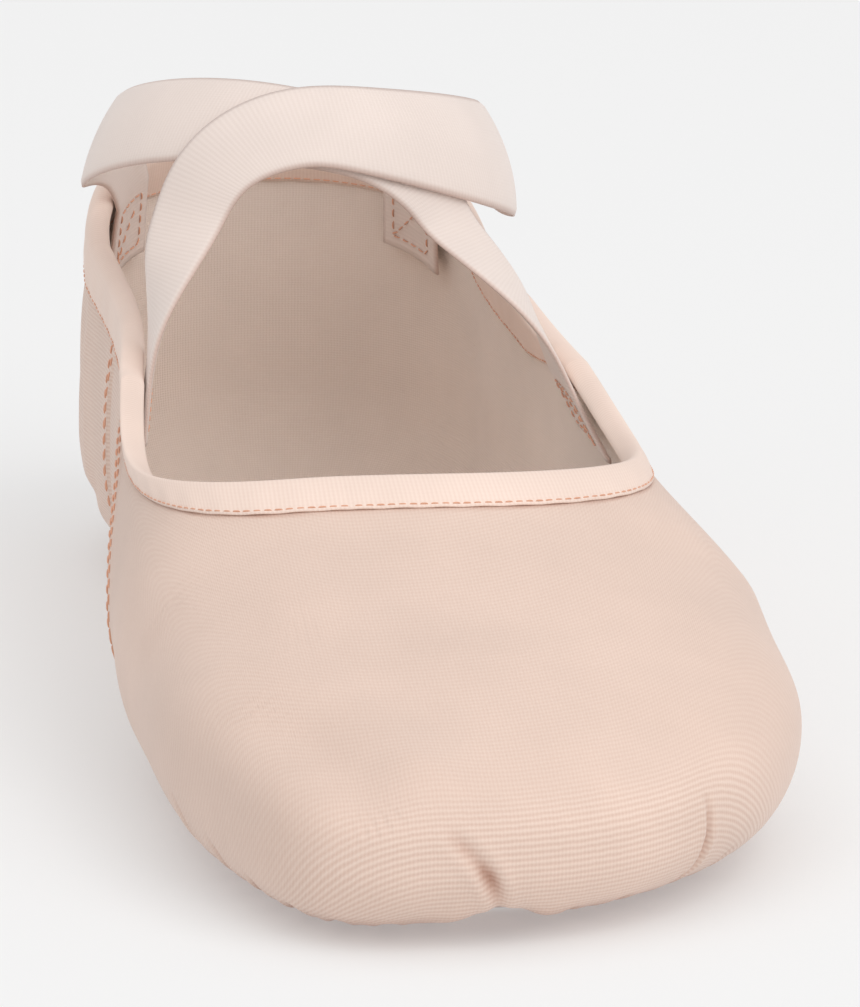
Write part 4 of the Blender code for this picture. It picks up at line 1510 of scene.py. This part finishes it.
class BALLET_OT_elastics(bpy.types.Operator):
    """The two elastics that cross over the instep"""

    bl_idname = "ballet.elastics"
    bl_label = "Elastics"

    def execute(self, context):
        for name in STRAPS:
            points, faces, uv, edge = strap_mesh(strap_surface(cloth_shell(), name))
            elastic = finish("ribbed elastic, woven")
            made = add_piece("elastic_" + name, points, faces, elastic, "elastic", uv, depth=edge)
            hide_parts(name)
        return {"FINISHED"}


class BALLET_OT_thread(bpy.types.Operator):
    """Rows of stitches along the seams, the collar tape, the patches and the elastics' ends"""

    bl_idname = "ballet.thread"
    bl_label = "Thread"

    def execute(self, context):
        sizes = context.scene.ballet_sizes
        shell = cloth_shell()
        coral = Thread(sizes)
        for seam, way in shell.seam_sides():
            for offset in SEAM_ROWS_MM:
                points, normals = seam_line(shell, seam, way, offset / 1000)
                coral.row(points, normals)
        points, normals = collar_line(shell, binding_height * tape_share - binding_row_mm / 1000)
        tape_rise = clearance + binding_cloth - tape_stitch_sink
        coral.row(points + normals * tape_rise, normals, length=0.7, width=0.65, gap=0.4)
        coral.row(points - normals * (cloth + tape_rise), -normals, length=0.7, width=0.65, gap=0.4)
        points, normals = back_seam(shell)
        coral.row(points, normals, 0.0007, 0.75)
        for name in STRAPS:
            surface = strap_surface(shell, name)
            for tail in (surface[:strap_depths - 1], surface[:-strap_depths:-1]):
                coral.row(*sewn_box(tail), length=0.8, width=0.75)
        coral.piece("coral_stitches", finish("coral polyester thread"))
        brown = Thread(sizes)
        for _, table, along, across, length in patches():
            ring = patch_outline(table, along, across, length, patch_row_mm / 1000)
            ring = np.concatenate([ring, ring[:1]])
            points = under_points(ring, -clearance - suede_thickness)
            normals = np.tile([0.0, 0.0, -1.0], (len(points), 1))
            brown.row(points, normals, 0.00018, 1.1, 1.25)
        brown.piece("brown_stitches", finish("brown polyester thread"))
        return {"FINISHED"}


class BALLET_OT_stage(bpy.types.Operator):
    """Pale floor, soft lights and the camera"""

    bl_idname = "ballet.stage"
    bl_label = "Studio"

    def execute(self, context):
        scene = context.scene
        floor_mesh = bpy.data.meshes.new("floor")
        far, low = floor_reach, -clearance
        corners = [(-far, -far, low), (far, -far, low), (far, far, low), (-far, far, low)]
        floor_mesh.from_pydata(corners, [], [(0, 1, 2, 3)])
        floor = bpy.data.objects.new("floor", floor_mesh)
        scene.collection.objects.link(floor)
        paper = bpy.data.materials.new("studio paper, matt")
        paper.use_nodes = True
        shader = paper.node_tree.nodes["Principled BSDF"]
        shader.inputs["Base Color"].default_value = scene.ballet_colours.floor
        shader.inputs["Roughness"].default_value = 0.9
        shader.inputs["Specular IOR Level"].default_value = 0.1
        # Lit from behind as on a light table, so the shoe throws hardly a shadow
        shader.inputs["Emission Color"].default_value = (1, 1, 1, 1)
        shader.inputs["Emission Strength"].default_value = floor_glow
        floor_mesh.materials.append(paper)
        for light in LIGHTS:
            add_light(light)
        world = bpy.data.worlds.new("studio")
        world.use_nodes = True
        world.node_tree.nodes["Background"].inputs["Color"].default_value = (1, 1, 1, 1)
        world.node_tree.nodes["Background"].inputs["Strength"].default_value = room_light
        scene.world = world
        scene.view_settings.view_transform = "Standard"
        add_camera(scene)
        return {"FINISHED"}


def add_light(light):
    """A large square light that looks at the shoe."""
    data = bpy.data.lights.new(light.name, "AREA")
    data.size = light.size
    data.energy = light.power
    lamp = bpy.data.objects.new(light.name, data)
    lamp.location = light.place
    lamp.rotation_euler = (Vector(lights_aim) - Vector(light.place)).to_track_quat("-Z", "Y").to_euler()
    bpy.context.scene.collection.objects.link(lamp)


def add_camera(scene):
    """Camera at the photograph's angle, which looks down on the standing shoe from the front."""
    a, e = math.radians(camera_azimuth), math.radians(camera_elevation)
    back = Vector((math.sin(a) * math.cos(e), -math.cos(a) * math.cos(e), math.sin(e)))
    data = bpy.data.cameras.new("camera")
    data.lens = camera_lens
    data.clip_start = 0.05
    data.clip_end = 50
    camera = bpy.data.objects.new("camera", data)
    camera.location = Vector(camera_aim) + back * camera_distance
    camera.rotation_euler = (-back).to_track_quat("-Z", "Y").to_euler()
    scene.collection.objects.link(camera)
    scene.camera = camera


# The add-on

OPERATORS = (
    BALLET_OT_upper,
    BALLET_OT_lining,
    BALLET_OT_binding,
    BALLET_OT_soles,
    BALLET_OT_elastics,
    BALLET_OT_thread,
    BALLET_OT_stage,
)


class BALLET_PT_panel(bpy.types.Panel):
    """Lists the pieces of the shoe and their sizes and colours"""

    bl_idname = "BALLET_PT_panel"
    bl_label = "Ballet Shoe"
    bl_space_type = "VIEW_3D"
    bl_region_type = "UI"
    bl_category = "Ballet Shoe"

    def draw(self, context):
        layout = self.layout
        for operator in OPERATORS:
            layout.operator(operator.bl_idname)
        for group in (context.scene.ballet_sizes, context.scene.ballet_colours):
            for name in group.bl_rna.properties.keys():
                if name not in ("rna_type", "name"):
                    layout.prop(group, name)


CLASSES = (BalletShoeSizes, BalletShoeColours, *OPERATORS, BALLET_PT_panel)


def register():
    for cls in CLASSES:
        bpy.utils.register_class(cls)
    bpy.types.Scene.ballet_sizes = bpy.props.PointerProperty(type=BalletShoeSizes)
    bpy.types.Scene.ballet_colours = bpy.props.PointerProperty(type=BalletShoeColours)


def unregister():
    del bpy.types.Scene.ballet_colours
    del bpy.types.Scene.ballet_sizes
    for cls in reversed(CLASSES):
        bpy.utils.unregister_class(cls)


def main():
    register()
    for operator in OPERATORS:
        group, name = operator.bl_idname.split(".")
        getattr(getattr(bpy.ops, group), name)()


if __name__ == "__main__":
    main()
